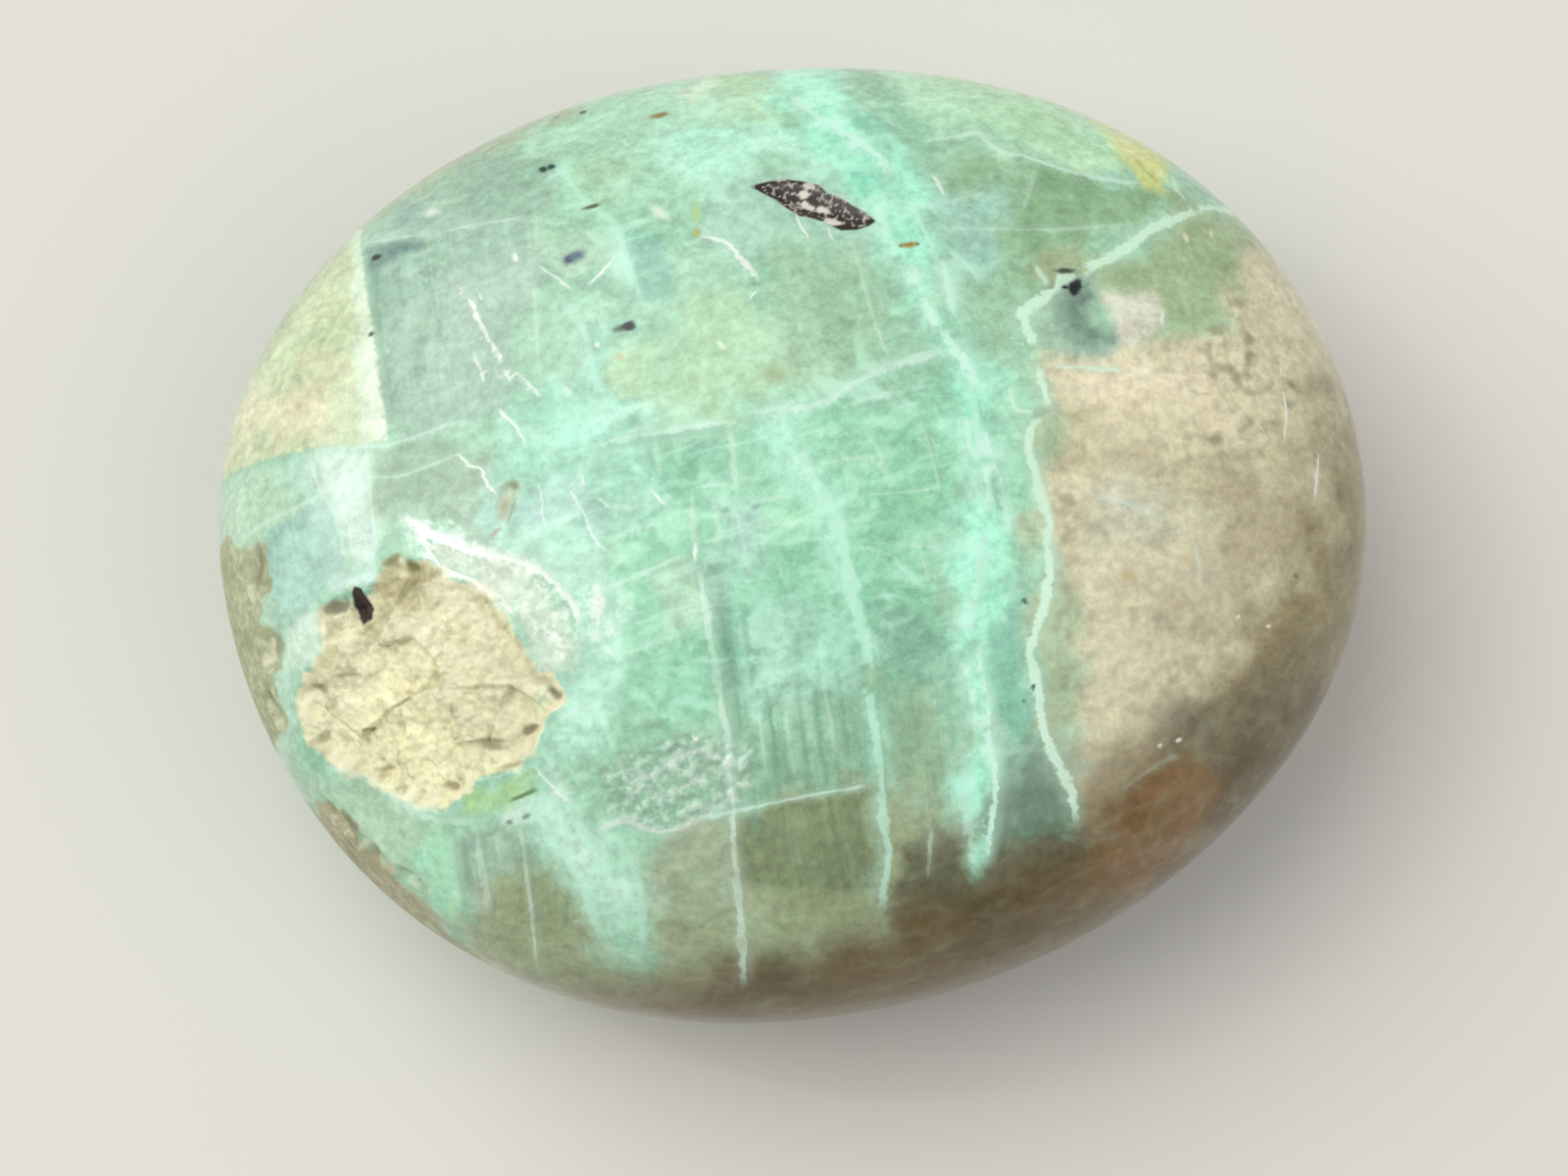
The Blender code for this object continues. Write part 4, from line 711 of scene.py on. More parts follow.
# Grains, flecks and stains in the face, with painted shadows at the pocket's edge and a painted
# glint on the black grain: colour, x, y, half length, half width, turn in degrees, share of the
# radius that is full colour
SPECKS = (
    ("0E1A16", -6.1, 7.7, 0.30, 0.27, 0.0, 0.70),
    ("3C6255", -6.5, 7.65, 0.45, 0.22, 5.0, 0.20),
    ("24382C", -17.6, 13.9, 0.26, 0.20, 0.0, 0.60),
    ("2F4434", -18.05, 9.7, 0.18, 0.17, 0.0, 0.60),
    ("2E4A40", -9.35, 16.8, 0.24, 0.20, 0.0, 0.55),
    ("2E4A40", -8.95, 16.85, 0.24, 0.20, 0.0, 0.55),
    ("3F5F50", -7.3, 20.25, 0.24, 0.22, 0.0, 0.45),
    ("7E9C84", -8.6, 20.4, 0.25, 0.22, 0.0, 0.20),
    ("8E8148", -3.65, 19.0, 0.75, 0.22, 5.0, 0.25),
    ("5E6A45", -7.3, 14.15, 0.50, 0.15, 5.0, 0.35),
    ("4B6478", -8.3, 11.6, 0.75, 0.42, 10.0, 0.15),
    ("26384A", -8.55, 11.55, 0.34, 0.24, 15.0, 0.40),
    ("B9BF6A", -2.55, 11.95, 0.32, 0.22, 75.0, 0.20),
    ("B9DB9E", -2.5, 13.0, 0.90, 0.26, 85.0, 0.05),
    ("A88A3C", 7.0, 10.15, 0.55, 0.20, 0.0, 0.30),
    ("6E5A2A", 6.62, 10.12, 0.12, 0.09, 0.0, 0.40),
    ("6E5A2A", 7.38, 10.15, 0.12, 0.09, 0.0, 0.40),
    ("0F1714", 14.36, 7.45, 0.48, 0.30, 62.0, 0.65),
    ("1B2420", 13.85, 7.45, 0.22, 0.13, 0.0, 0.50),
    ("4A5648", 13.95, 8.25, 0.62, 0.17, -4.0, 0.40),
    ("2F4A42", 10.05, -7.15, 0.17, 0.11, -60.0, 0.55),
    ("33483A", 9.97, -10.95, 0.16, 0.11, 80.0, 0.55),
    ("5C7F6A", 9.45, -11.5, 0.13, 0.12, 0.0, 0.30),
    ("8A7148", 22.7, -6.55, 0.14, 0.10, -30.0, 0.40),
    ("C8B684", 14.9, -6.4, 0.60, 0.34, -20.0, 0.05),
    ("8E997A", -12.05, 1.0, 0.36, 0.22, -30.0, 0.40),
    ("B9C2A4", -12.6, 0.0, 0.80, 0.26, 68.0, 0.20),
    ("A0A586", -12.3, -0.2, 0.80, 0.08, 64.0, 0.30),
    ("AEB092", -13.2, -1.1, 0.50, 0.14, 35.0, 0.25),
    ("6F8F5C", -13.2, -12.8, 0.80, 0.12, 12.0, 0.40),
    ("7FA08C", -14.0, -13.8, 0.22, 0.14, 0.0, 0.20),
    ("7FA08C", -13.2, -13.7, 0.26, 0.14, 10.0, 0.20),
    # Painted glint on the black grain
    ("F2F4F6", -19.75, -2.75, 0.10, 0.07, 30.0, 0.50),
    ("6E7A8C", -19.6, -3.35, 0.10, 0.26, -10.0, 0.20),
    ("9A9C80", -21.0, -2.9, 0.62, 0.36, 0.0, 0.60),
    ("A3A97E", -18.1, -1.4, 0.60, 0.26, 20.0, 0.30),
    ("98996F", -17.2, -1.75, 0.40, 0.20, -30.0, 0.35),
    # The next two specks are painted shadows inside the pocket's left edge
    ("A9A484", -22.5, -6.2, 0.50, 0.20, -50.0, 0.30),
    ("B5AF8E", -21.3, -5.95, 0.75, 0.16, -10.0, 0.25),
    ("ACA681", -22.6, -8.4, 0.42, 0.34, 0.0, 0.25),
    ("9F9774", -20.4, -8.65, 0.28, 0.12, 0.0, 0.40),
    ("9E9670", -18.5, -7.8, 0.85, 0.10, 15.0, 0.30),
    ("AEA581", -16.2, -8.6, 0.40, 0.13, 80.0, 0.30),
    ("AEA37A", -19.7, -10.5, 0.45, 0.16, -5.0, 0.35),
    ("A89E78", -16.6, -11.9, 0.50, 0.20, -20.0, 0.25),
    ("AAA07A", -14.6, -10.4, 0.70, 0.42, 0.0, 0.30),
    # The next two specks are painted shadows at the pocket's right edge
    ("8B8664", -12.8, -10.05, 0.50, 0.24, 15.0, 0.40),
    ("90916F", -11.3, -8.6, 0.55, 0.26, -45.0, 0.40),
    ("B2B48A", -13.6, -11.45, 0.80, 0.16, 5.0, 0.30),
    ("8C9272", -24.45, 0.1, 1.05, 0.42, 80.0, 0.45),
    ("98A184", -23.9, -3.9, 0.75, 0.22, 75.0, 0.30),
    ("868C68", -24.6, -6.2, 0.90, 0.20, 110.0, 0.30),
    ("7C8460", -21.6, -12.1, 0.80, 0.22, 125.0, 0.30),
    ("7A7F5E", -20.6, -13.5, 0.60, 0.22, 125.0, 0.30),
    ("C4BC9E", -20.0, -14.4, 0.60, 0.20, 130.0, 0.20),
    ("F4FCF6", -10.98, 12.1, 0.30, 0.11, 105.0, 0.50),
    ("F4FCF6", -13.15, 10.05, 0.25, 0.12, 100.0, 0.50),
    ("F7FDF8", -13.02, 9.4, 0.32, 0.14, 110.0, 0.50),
    ("DFF0E2", -14.8, 15.7, 0.55, 0.36, 0.0, 0.05),
    ("E4F5E2", -4.15, 13.3, 0.70, 0.28, -50.0, 0.20),
    ("E8F8EE", -7.62, 7.02, 0.22, 0.13, -60.0, 0.30),
    ("E4F5E8", -9.2, 5.05, 0.35, 0.08, -50.0, 0.40),
    ("EAF8DC", -2.05, 6.2, 0.35, 0.14, -60.0, 0.30),
    ("F0FBEA", -6.05, -4.68, 0.15, 0.08, 90.0, 0.50),
    ("E6F9EE", -4.7, 1.8, 0.13, 0.10, 0.0, 0.40),
    ("F0FBF2", -4.3, -3.3, 0.42, 0.10, 85.0, 0.40),
    ("F4FCF4", -5.3, -11.5, 0.25, 0.06, -50.0, 0.50),
    ("CCD09C", -6.7, 6.3, 0.40, 0.20, -60.0, 0.10),
    ("B4C48C", -3.45, 4.9, 0.28, 0.11, -70.0, 0.15),
    ("9FB98E", 0.2, 4.5, 1.10, 0.60, -20.0, 0.00),
    ("86B6A4", -1.4, -1.6, 0.40, 0.22, 10.0, 0.10),
    ("88B4A2", -2.7, -1.6, 0.34, 0.26, 0.0, 0.10),
    ("8FB8A2", -11.3, 0.6, 0.30, 0.18, 0.0, 0.10),
    ("90A884", 11.5, 13.4, 0.22, 0.16, 0.0, 0.20),
    ("8FA987", 9.4, 13.15, 0.14, 0.12, 0.0, 0.20),
    ("E2E2C8", 19.9, 9.9, 0.40, 0.14, 100.0, 0.20),
    ("E4E4CC", 21.2, 10.3, 0.32, 0.12, 80.0, 0.20),
    ("F2EEDC", 15.4, -13.8, 0.12, 0.10, 0.0, 0.40),
    ("F2EEDC", 16.3, -13.6, 0.18, 0.10, 20.0, 0.40),
    ("EDE6D2", 21.1, -8.8, 0.14, 0.10, 0.0, 0.40),
    ("EDE6D2", 19.7, -8.4, 0.16, 0.10, 40.0, 0.40),
)

# Dark crystal with pale chips, and the black grain beside the pocket
CRYSTAL = (
    (0.1, 14.1), (1.0, 14.25), (1.8, 14.25), (2.5, 14.05), (3.2, 13.8), (3.6, 13.3),
    (4.2, 12.95), (4.8, 12.4), (5.3, 12.0), (5.65, 11.5), (5.3, 11.3), (4.7, 11.15),
    (4.0, 11.2), (3.3, 11.7), (2.8, 12.0), (2.2, 12.2), (1.6, 12.8), (1.2, 13.3), (0.7, 13.6),
)
BLACK_GRAIN = (
    (-19.9, -2.2), (-19.55, -2.4), (-19.4, -2.9), (-19.25, -3.4), (-19.4, -3.8),
    (-19.95, -3.95), (-20.1, -3.6), (-20.25, -3.0), (-20.1, -2.5),
)

# Chips in the dark crystal: their width, how much longer they are along the crystal, the
# crystal's turn in degrees, the share of places left dark, and the width of the pale lines
# between them
CHIP_SIZE = 0.33
CHIP_STRETCH = 1.9
CRYSTAL_TURN = 27.0
DARK_SHARE = 0.87
CHIP_LINE = 0.07

# Patterns in the polish. The growth bends over one size by up to a reach. On it lie curling
# wisps, flecks, brush strokes that rise to the right, upright cleavage streaks, and mottles
# that gather in clusters.
BEND_SIZE = 6.0
BEND_REACH = 0.7
WISP_SIZE = 1.8
FLECK_SIZE = 0.5
STROKE_SIZE = (2.6, 0.7, 0.8)
STROKE_RISE = math.radians(9.0)
STREAK_SIZE = (0.5, 7.0, 7.0)
MOTTLE_SIZE = 0.9
CLUSTER_SIZE = 6.0

# Roughness of the polish at its glossiest and at its dullest, and of the broken places, and
# the orange peel that the tumbling leaves
GLOSSIEST = 0.08
DULLEST = 0.17
BROKEN = 0.60
PEEL_SIZE = 0.6
PEEL_HEIGHT = 0.01

# Lamps: name, direction that each stands in, distance, length and width in metres, turn in
# degrees, watts and colour. The surround is an even white of some strength.
LAMPS = (
    ("window", (-0.53, 0.20, 0.83), 0.8, 0.17, 0.012, 90.0, 0.25, (1.0, 0.99, 0.97)),
    ("key", (-0.50, 0.34, 0.83), 1.2, 1.5, 1.5, 0.0, 10.6, (1.0, 0.98, 0.95)),
    ("fill", (0.6, -0.4, 0.9), 1.0, 0.9, 0.9, 0.0, 1.9, (1.0, 1.0, 1.0)),
)
SURROUND = 0.40

# Camera: where it looks from the pillow's axis, its height over the horizon, how far the
# picture leans, its distance and its lens on a sensor 36 mm wide
AIM = (-0.55, -2.65, 0.0)
CAMERA_HEIGHT = 76.0
CAMERA_LEAN = 6.9
CAMERA_DISTANCE = 200.0
LENS = 97.3
SENSOR = 36.0

# A colour Mix node's two colours, and a number Mix node's two numbers
UNDER, OVER = 6, 7
FIRST, SECOND = 2, 3


def hex_colour(code):
    """Linear colour of an sRGB hex value."""
    levels = [int(code[start:start + 2], 16) / 255.0 for start in (0, 2, 4)]
    linear = [level / 12.92 if level <= 0.04045 else ((level + 0.055) / 1.055) ** 2.4
              for level in levels]
    return (*linear, 1.0)


def add(tree, kind, sockets=None, **settings):
    """Add a node: its settings, then a value or another node's output for each socket."""
    node = tree.nodes.new("ShaderNode" + kind)
    for name, value in settings.items():
        setattr(node, name, value)
    for name, value in (sockets or {}).items():
        if isinstance(value, bpy.types.NodeSocket):
            tree.links.new(value, node.inputs[name])
        else:
            node.inputs[name].default_value = value
    return next(socket for socket in node.outputs if socket.enabled)


def ease(share):
    """Smooth step from 0 to 1."""
    share = np.clip(share, 0.0, 1.0)
    return share * share * (3.0 - 2.0 * share)


def plan_radius(turn):
    """Distance from the upright axis to the widest line, in the direction of turn."""
    along = np.abs(np.cos(turn) / HALF_LENGTH) ** PLAN_POWER
    across = np.abs(np.sin(turn) / HALF_WIDTH) ** PLAN_POWER
    lumps = sum(c * np.cos(n * turn) + s * np.sin(n * turn) for n, c, s in OUTLINE_LUMPS)
    return (along + across) ** (-1.0 / PLAN_POWER) * (1.0 + lumps)


def swell(ball):
    """Points of the smooth pillow for points of the unit ball."""
    x, y, z = ball.T
    level = np.hypot(x, y)
    grow = (level ** SECTION_POWER + np.abs(z) ** SECTION_POWER) ** (-1.0 / SECTION_POWER)
    reach = plan_radius(np.arctan2(y, x)) * grow
    height = np.where(z > 0.0, FACE_HEIGHT, BACK_DEPTH) * grow
    return np.stack((x * reach, y * reach, z * height), axis=1)


def face_height(x, y):
    """Height of the smooth face over the widest line."""
    share = min(math.hypot(x, y) / float(plan_radius(np.arctan2(y, x))), 1.0)
    return FACE_HEIGHT * (1.0 - share ** SECTION_POWER) ** (1.0 / SECTION_POWER)


def depth_inside(plan, outline):
    """Distance to a closed outline: more than 0 inside it, less than 0 outside."""
    corners = np.array(outline)
    nearest = np.full(len(plan), np.inf)
    inside = np.zeros(len(plan), bool)
    for start, end in zip(corners, np.roll(corners, -1, axis=0)):
        edge = end - start
        share = np.clip((plan - start) @ edge / (edge @ edge), 0.0, 1.0)
        away = plan - start - share[:, None] * edge
        nearest = np.minimum(nearest, np.hypot(away[:, 0], away[:, 1]))
        if edge[1] != 0.0:
            crosses = (start[1] > plan[:, 1]) != (end[1] > plan[:, 1])
            inside ^= crosses & (plan[:, 0] < start[0] + (plan[:, 1] - start[1]) / edge[1] * edge[0])
    return np.where(inside, nearest, -nearest)


def cells(plan, size, salt):
    """The irregular cell of a given size that each point is in: the cell's middle, its six
    random shares, and how much farther the next cell's middle is."""
    home = np.floor(plan / size).astype(int)
    low = home.min(axis=0) - 1
    columns, rows = home.max(axis=0) - low + 2
    seeds = np.empty((columns, rows, 6))
    for column in range(columns):
        for row in range(rows):
            corner = (low[0] + column + 0.5, low[1] + row + 0.5)
            seeds[column, row, :3] = noise.cell_vector(Vector((*corner, salt)))
            seeds[column, row, 3:] = noise.cell_vector(Vector((*corner, salt + 7.0)))
    nearest = np.full(len(plan), np.inf)
    following = np.full(len(plan), np.inf)
    chance = np.zeros((len(plan), 6))
    middle = np.zeros((len(plan), 2))
    for step in ((-1, -1), (-1, 0), (-1, 1), (0, -1), (0, 0), (0, 1), (1, -1), (1, 0), (1, 1)):
        cell = home + step
        seed = seeds[cell[:, 0] - low[0], cell[:, 1] - low[1]]
        spot = (cell + seed[:, :2]) * size
        away = np.hypot(plan[:, 0] - spot[:, 0], plan[:, 1] - spot[:, 1])
        closer = away < nearest
        following = np.where(closer, nearest, np.minimum(following, away))
        nearest = np.where(closer, away, nearest)
        chance[closer] = seed[closer]
        middle[closer] = spot[closer]
    return middle, chance, following - nearest


def cloud(points, size, octaves):
    """Smooth random numbers from about -1 to 1, in lumps of a given size."""
    return np.array([noise.fractal(Vector(point) / size, 1.0, 2.0, octaves) for point in points])


def shaken(points, size, reach):
    """Plan places pushed about by up to a given reach, so that edges read there wander."""
    pushes = np.array([noise.noise_vector(Vector(point) / size) for point in points])
    return points[:, :2] + reach * pushes[:, :2]


def broken_grains(plan, size, step, tilt, salt):
    """Height and tone of the grain at each point: one flat, tilted face a grain."""
    middle, chance, _ = cells(plan, size, salt)
    away = plan - middle
    height = step * (chance[:, 2] - 0.5)
    height += tilt * ((chance[:, 3] - 0.5) * away[:, 0] + (chance[:, 4] - 0.5) * away[:, 1])
    return height, chance[:, 5]


def crumple(points):
    """Where the crumpled patch lies, and its lumps: 0 in the creases, 1 on the highest."""
    share = ease(depth_inside(points[:, :2], CRUMPLED) / CRUMPLED_EDGE + 0.5)
    share = np.where(points[:, 2] > 0.0, share, 0.0)
    lumps = np.full(len(points), 0.5)
    near = np.flatnonzero(share)
    lumps[near] = 0.5 + 0.9 * cloud(points[near], LUMP_SIZE, 4)
    return share, lumps


def hollow_share(points, hollow):
    """How far points are from the middle of a hollow, where 1 is the hollow's edge."""
    x, y, half_length, half_width, turn, _ = hollow
    away = points - np.array((x, y, face_height(x, y)))
    along = away @ np.array((math.cos(math.radians(turn)), math.sin(math.radians(turn)), 0.0))
    across = np.sqrt(np.maximum((away ** 2).sum(axis=1) - along ** 2, 0.0))
    return np.hypot(along / half_length, across / half_width)


def speck_share(points, speck):
    """How far points are from the middle of a speck, where 1 is the speck's edge."""
    _, x, y, half_length, half_width, turn, _ = speck
    away = points - np.array((x, y, face_height(x, y)))
    turn = math.radians(turn)
    along = away[:, 0] * math.cos(turn) + away[:, 1] * math.sin(turn)
    across = away[:, 1] * math.cos(turn) - away[:, 0] * math.sin(turn)
    return np.sqrt((along / half_length) ** 2 + (across / half_width) ** 2
                   + (away[:, 2] / SPECK_DEPTH) ** 2)


def is_broken(points):
    """Whether the surface at each point needs small squares."""
    plan = points[:, :2]
    broken = np.zeros(len(points), bool)
    for outline in (POCKET, FLAKE, CRYSTAL, CRUMPLED):
        broken |= depth_inside(plan, outline) > -FINE_MARGIN
    for hollow in HOLLOWS:
        broken |= hollow_share(points, hollow) < 1.0 + FINE_MARGIN
    for speck in SPECKS:
        broken |= speck_share(points, speck) < SPECK_MARGIN
    return broken & (points[:, 2] > 0.0)


def relief(points):
    """Height of the real surface over the smooth pillow, and the tone of its grains."""
    height = np.array([WAVE_HEIGHT * noise.noise(Vector(point) / WAVE_LENGTH) for point in points])
    tone = np.full(len(points), 0.5)
    near = np.flatnonzero(is_broken(points))
    plan = points[near, :2]
    grit = cloud(points[near], GRIT_SIZE, 2)
    big, big_tone = broken_grains(plan, *BIG_GRAINS)
    small, small_tone = broken_grains(shaken(points[near], *GRAIN_CRUMBLE), *SMALL_GRAINS)
    edge = ease(depth_inside(shaken(points[near], *CRUMBLE), POCKET) / POCKET_EDGE)
    height[near] += edge * (big + small + GRIT_HEIGHT * grit - POCKET_DEPTH)
    height[near] -= FLAKE_DEPTH * ease(depth_inside(plan, FLAKE) / FLAKE_EDGE)
    stains = cloud(points[near], STAIN_SIZE, 4)
    tone[near] = 0.40 * big_tone + 0.32 * small_tone + 0.14 + 0.25 * stains
    patch, lumps = crumple(points)
    height += LUMP_HEIGHT * patch * (lumps - LUMP_LEVEL)
    for hollow in HOLLOWS:
        share = hollow_share(points, hollow)
        dip = hollow[-1] * (1.0 - share ** 2) ** 2
        height -= np.where((points[:, 2] > 0.0) & (share < 1.0), dip, 0.0)
    return height, tone


def cube_to_ball(cube):
    """Even spread of a cube's points over the unit ball."""
    bent = np.tan(cube * math.pi / 4.0)
    return bent / np.linalg.norm(bent, axis=1)[:, None]


def cut_faces(cube, picks, cuts):
    """Cut the cube's faces again where the pillow's points are picked."""
    cube.verts.ensure_lookup_table()
    cube.verts.index_update()
    picked = picks(swell(cube_to_ball(np.array([vert.co for vert in cube.verts]))))
    edges = {edge for face in cube.faces if any(picked[vert.index] for vert in face.verts)
             for edge in face.edges}
    bmesh.ops.subdivide_edges(cube, edges=list(edges), cuts=cuts, use_grid_fill=True)
    corners = [face for face in cube.faces if len(face.verts) > 4]
    bmesh.ops.triangulate(cube, faces=corners)


def fine_cube():
    """Cube of small squares, finer over the face and finest where the stone is broken."""
    cube = bmesh.new()
    bmesh.ops.create_cube(cube, size=2.0)
    bmesh.ops.subdivide_edges(cube, edges=cube.edges[:], cuts=CUBE_CUTS, use_grid_fill=True)
    cut_faces(cube, lambda points: points[:, 2] > 1.0, FACE_CUTS)
    cut_faces(cube, is_broken, FINE_CUTS)
    return cube


def read_points(mesh, layer="co"):
    """A mesh's points, or their normals, as rows of three numbers."""
    rows = np.empty(len(mesh.vertices) * 3)
    if layer == "co":
        mesh.vertices.foreach_get("co", rows)
    else:
        mesh.vertex_normals.foreach_get("vector", rows)
    return rows.reshape(-1, 3)


def read_edges(mesh):
    """The two points of each of a mesh's edges."""
    rows = np.empty(len(mesh.edges) * 2, int)
    mesh.edges.foreach_get("vertices", rows)
    return rows.reshape(-1, 2)


def store(mesh, name, values):
    """Keep one number, a place or a colour for each point of the mesh."""
    kind, slot = {1: ("FLOAT", "value"), 3: ("FLOAT_VECTOR", "vector"),
                  4: ("FLOAT_COLOR", "color")}[values.shape[1] if values.ndim == 2 else 1]
    layer = mesh.attributes.new(name, kind, "POINT")
    layer.data.foreach_set(slot, values.astype(np.float32).ravel())


def through_plan(points):
    """Plan places where the zones of each point are read: straight down on the face, and
    slanted and bent below the widest line, because no growth plane is upright."""
    below = np.maximum(-points[:, 2], 0.0)
    plan = points[:, :2] + below[:, None] * SLANT
    for index in np.flatnonzero(below):
        bend = noise.noise_vector(Vector(points[index]) / SLANT_BEND_SIZE)
        plan[index] += np.array((bend.x, bend.y)) * SLANT_BEND * below[index]
    return plan


def smooth_route(route, steps=6):
    """Curve through a seam's corners, as close points."""
    corners = np.array([route[0], *route, route[-1]])
    points = []
    for before, start, end, after in zip(corners, corners[1:], corners[2:], corners[3:]):
        for share in np.arange(steps) / steps:
            points.append(0.5 * (
                2.0 * start + (end - before) * share
                + (2.0 * before - 5.0 * start + 4.0 * end - after) * share ** 2
                + (3.0 * start - before - 3.0 * end + after) * share ** 3))
    points.append(corners[-1])
    return np.array(points)


def seam_field(plan, edges, seams):
    """Signed distance to the nearest seam in half widths, and its strength there. Where the
    side changes between two seams, the strength is 0, so that no line shows between them."""
    best = np.full(len(plan), 1e3)
    half_widths = np.ones(len(plan))
    strength = np.zeros(len(plan))
    owner = np.full(len(plan), -1)
    for number, (half_width, power, route) in enumerate(seams):
        points = smooth_route(route)
        lengths = np.hypot(*np.diff(points, axis=0).T)
        run = np.concatenate(((0.0,), np.cumsum(lengths)))
        swing = np.array([noise.noise(Vector((along / PINCH_SIZE, 9.1 * number, 0.0)))
                          for along in run])
        widths = half_width * (1.0 + PINCH * swing)
        fade = min(max(2.0 * half_width, RUN_OUT * run[-1]), LONGEST_RUN_OUT)
        reach = 5.0 * half_width + 1.0
        near = np.flatnonzero(((plan > points.min(axis=0) - reach)
                               & (plan < points.max(axis=0) + reach)).all(axis=1))
        here = plan[near]
        nearest = np.full(len(near), 1e3)
        place = np.zeros(len(near))
        width = np.full(len(near), half_width)
        for step, (start, end) in enumerate(zip(points, points[1:])):
            edge = end - start
            share = np.clip((here - start) @ edge / lengths[step] ** 2, 0.0, 1.0)
            away = here - start - share[:, None] * edge
            side = np.where(edge[0] * away[:, 1] < edge[1] * away[:, 0], -1.0, 1.0)
            distance = side * np.hypot(away[:, 0], away[:, 1])
            closer = np.abs(distance) < np.abs(nearest)
            nearest[closer] = distance[closer]
            place[closer] = (run[step] + share * lengths[step])[closer]
            width[closer] = (widths[step] + share * (widths[step + 1] - widths[step]))[closer]
        ends = ease(place / fade) * ease((run[-1] - place) / fade)
        ends *= 1.0 - ease((np.abs(nearest) - reach + 0.5) / 0.5)
        mine = np.abs(nearest) < np.abs(best[near])
        best[near[mine]] = nearest[mine]
        half_widths[near[mine]] = width[mine]
        strength[near[mine]] = (power * ends)[mine]
        owner[near[mine]] = number
    first, second = edges.T
    torn = (owner[first] != owner[second]) & (best[first] * best[second] < 0.0)
    strength[edges[torn]] = 0.0
    return np.stack((best / half_widths, strength, np.zeros(len(plan))), axis=1)


def plan_3d(points, plan):
    """Places that patterns are read at: through_plan's places with the height above them."""
    return np.column_stack((plan, points[:, 2]))


def paint_zones(points, plan, below):
    """Colours of the ground and of the inset parts, and the distance to those parts' edge."""
    places = plan_3d(points, plan)
    drift = ease(0.5 + 1.1 * cloud(places, DRIFT_SIZE, 5))[:, None]
    wander = WANDER_REACH * cloud(places, WANDER_SIZE, 5)
    crumbly = shaken(places, *CRUMBLE)
    main, other = (np.array(hex_colour(code)) for code in GROUND)
    ground = main + (other - main) * drift
    inset = ground.copy()
    edge = np.full(len(points), -1e3)
    for _, main, other, soft, ragged, lies, outline in ZONES:
        main, other = np.array(hex_colour(main)), np.array(hex_colour(other))
        tone = main + (other - main) * drift
        inside = depth_inside(crumbly if lies == "inset" and ragged else plan, outline)
        inside = inside + ragged * wander
        if lies != "through":
            inside = inside - SKIN_FADE * below
        share = ease(0.5 + inside / (2.0 * soft))
        if lies == "inset":
            share = np.where(inside > edge, 1.0, share)
            edge = np.maximum(edge, inside)
        target = inset if lies in ("inset", "in_inset") else ground
        target += share[:, None] * (tone - target)
    return ground, inset, edge


def paint_specks(points):
    """Colour of the nearest speck to each point, and how fully it shows there."""
    tints = np.zeros((len(points), 4))
    shares = np.zeros(len(points))
    nearest = np.full(len(points), 1e3)
    ragged = SPECK_RAGGED * cloud(points, SPECK_CURLS, 2)
    for speck in SPECKS:
        away = speck_share(points, speck) + ragged
        share = ease((SPECK_EDGE - away) / (SPECK_EDGE - speck[-1]))
        mine = (share > shares) | ((shares == 0.0) & (away < nearest))
        tints[mine] = hex_colour(speck[0])
        shares = np.maximum(shares, share)
        nearest = np.minimum(nearest, away)
    return tints, shares


def paint_crystal(points):
    """Distance inside the dark crystal or the black grain, and how pale its chips are."""
    plan = points[:, :2]
    crystal = depth_inside(plan, CRYSTAL)
    grain = depth_inside(plan, BLACK_GRAIN)
    turn = math.radians(CRYSTAL_TURN)
    along = plan[:, 0] * math.cos(turn) - plan[:, 1] * math.sin(turn)
    across = plan[:, 0] * math.sin(turn) + plan[:, 1] * math.cos(turn)
    drawn = np.stack((along / CHIP_STRETCH, across), axis=1)
    pale = np.zeros(len(points))
    near = np.flatnonzero(crystal > -0.5)
    jagged = drawn[near] + 0.08 * cloud(points[near], 0.3, 2)[:, None]
    _, chance, gap = cells(jagged, CHIP_SIZE, 11.5)
    chips = ease((chance[:, 2] - DARK_SHARE) / 0.05)
    walls = 0.7 * ease(1.0 - gap / CHIP_LINE) * ease((chance[:, 3] - 0.3) / 0.2)
    pale[near] = np.maximum(chips * ease(gap / 0.10), walls) * (crystal[near] > -0.3)
    face = np.where(points[:, 2] > 0.0, 0.0, -1e3)
    return np.maximum(crystal, grain) + face, pale


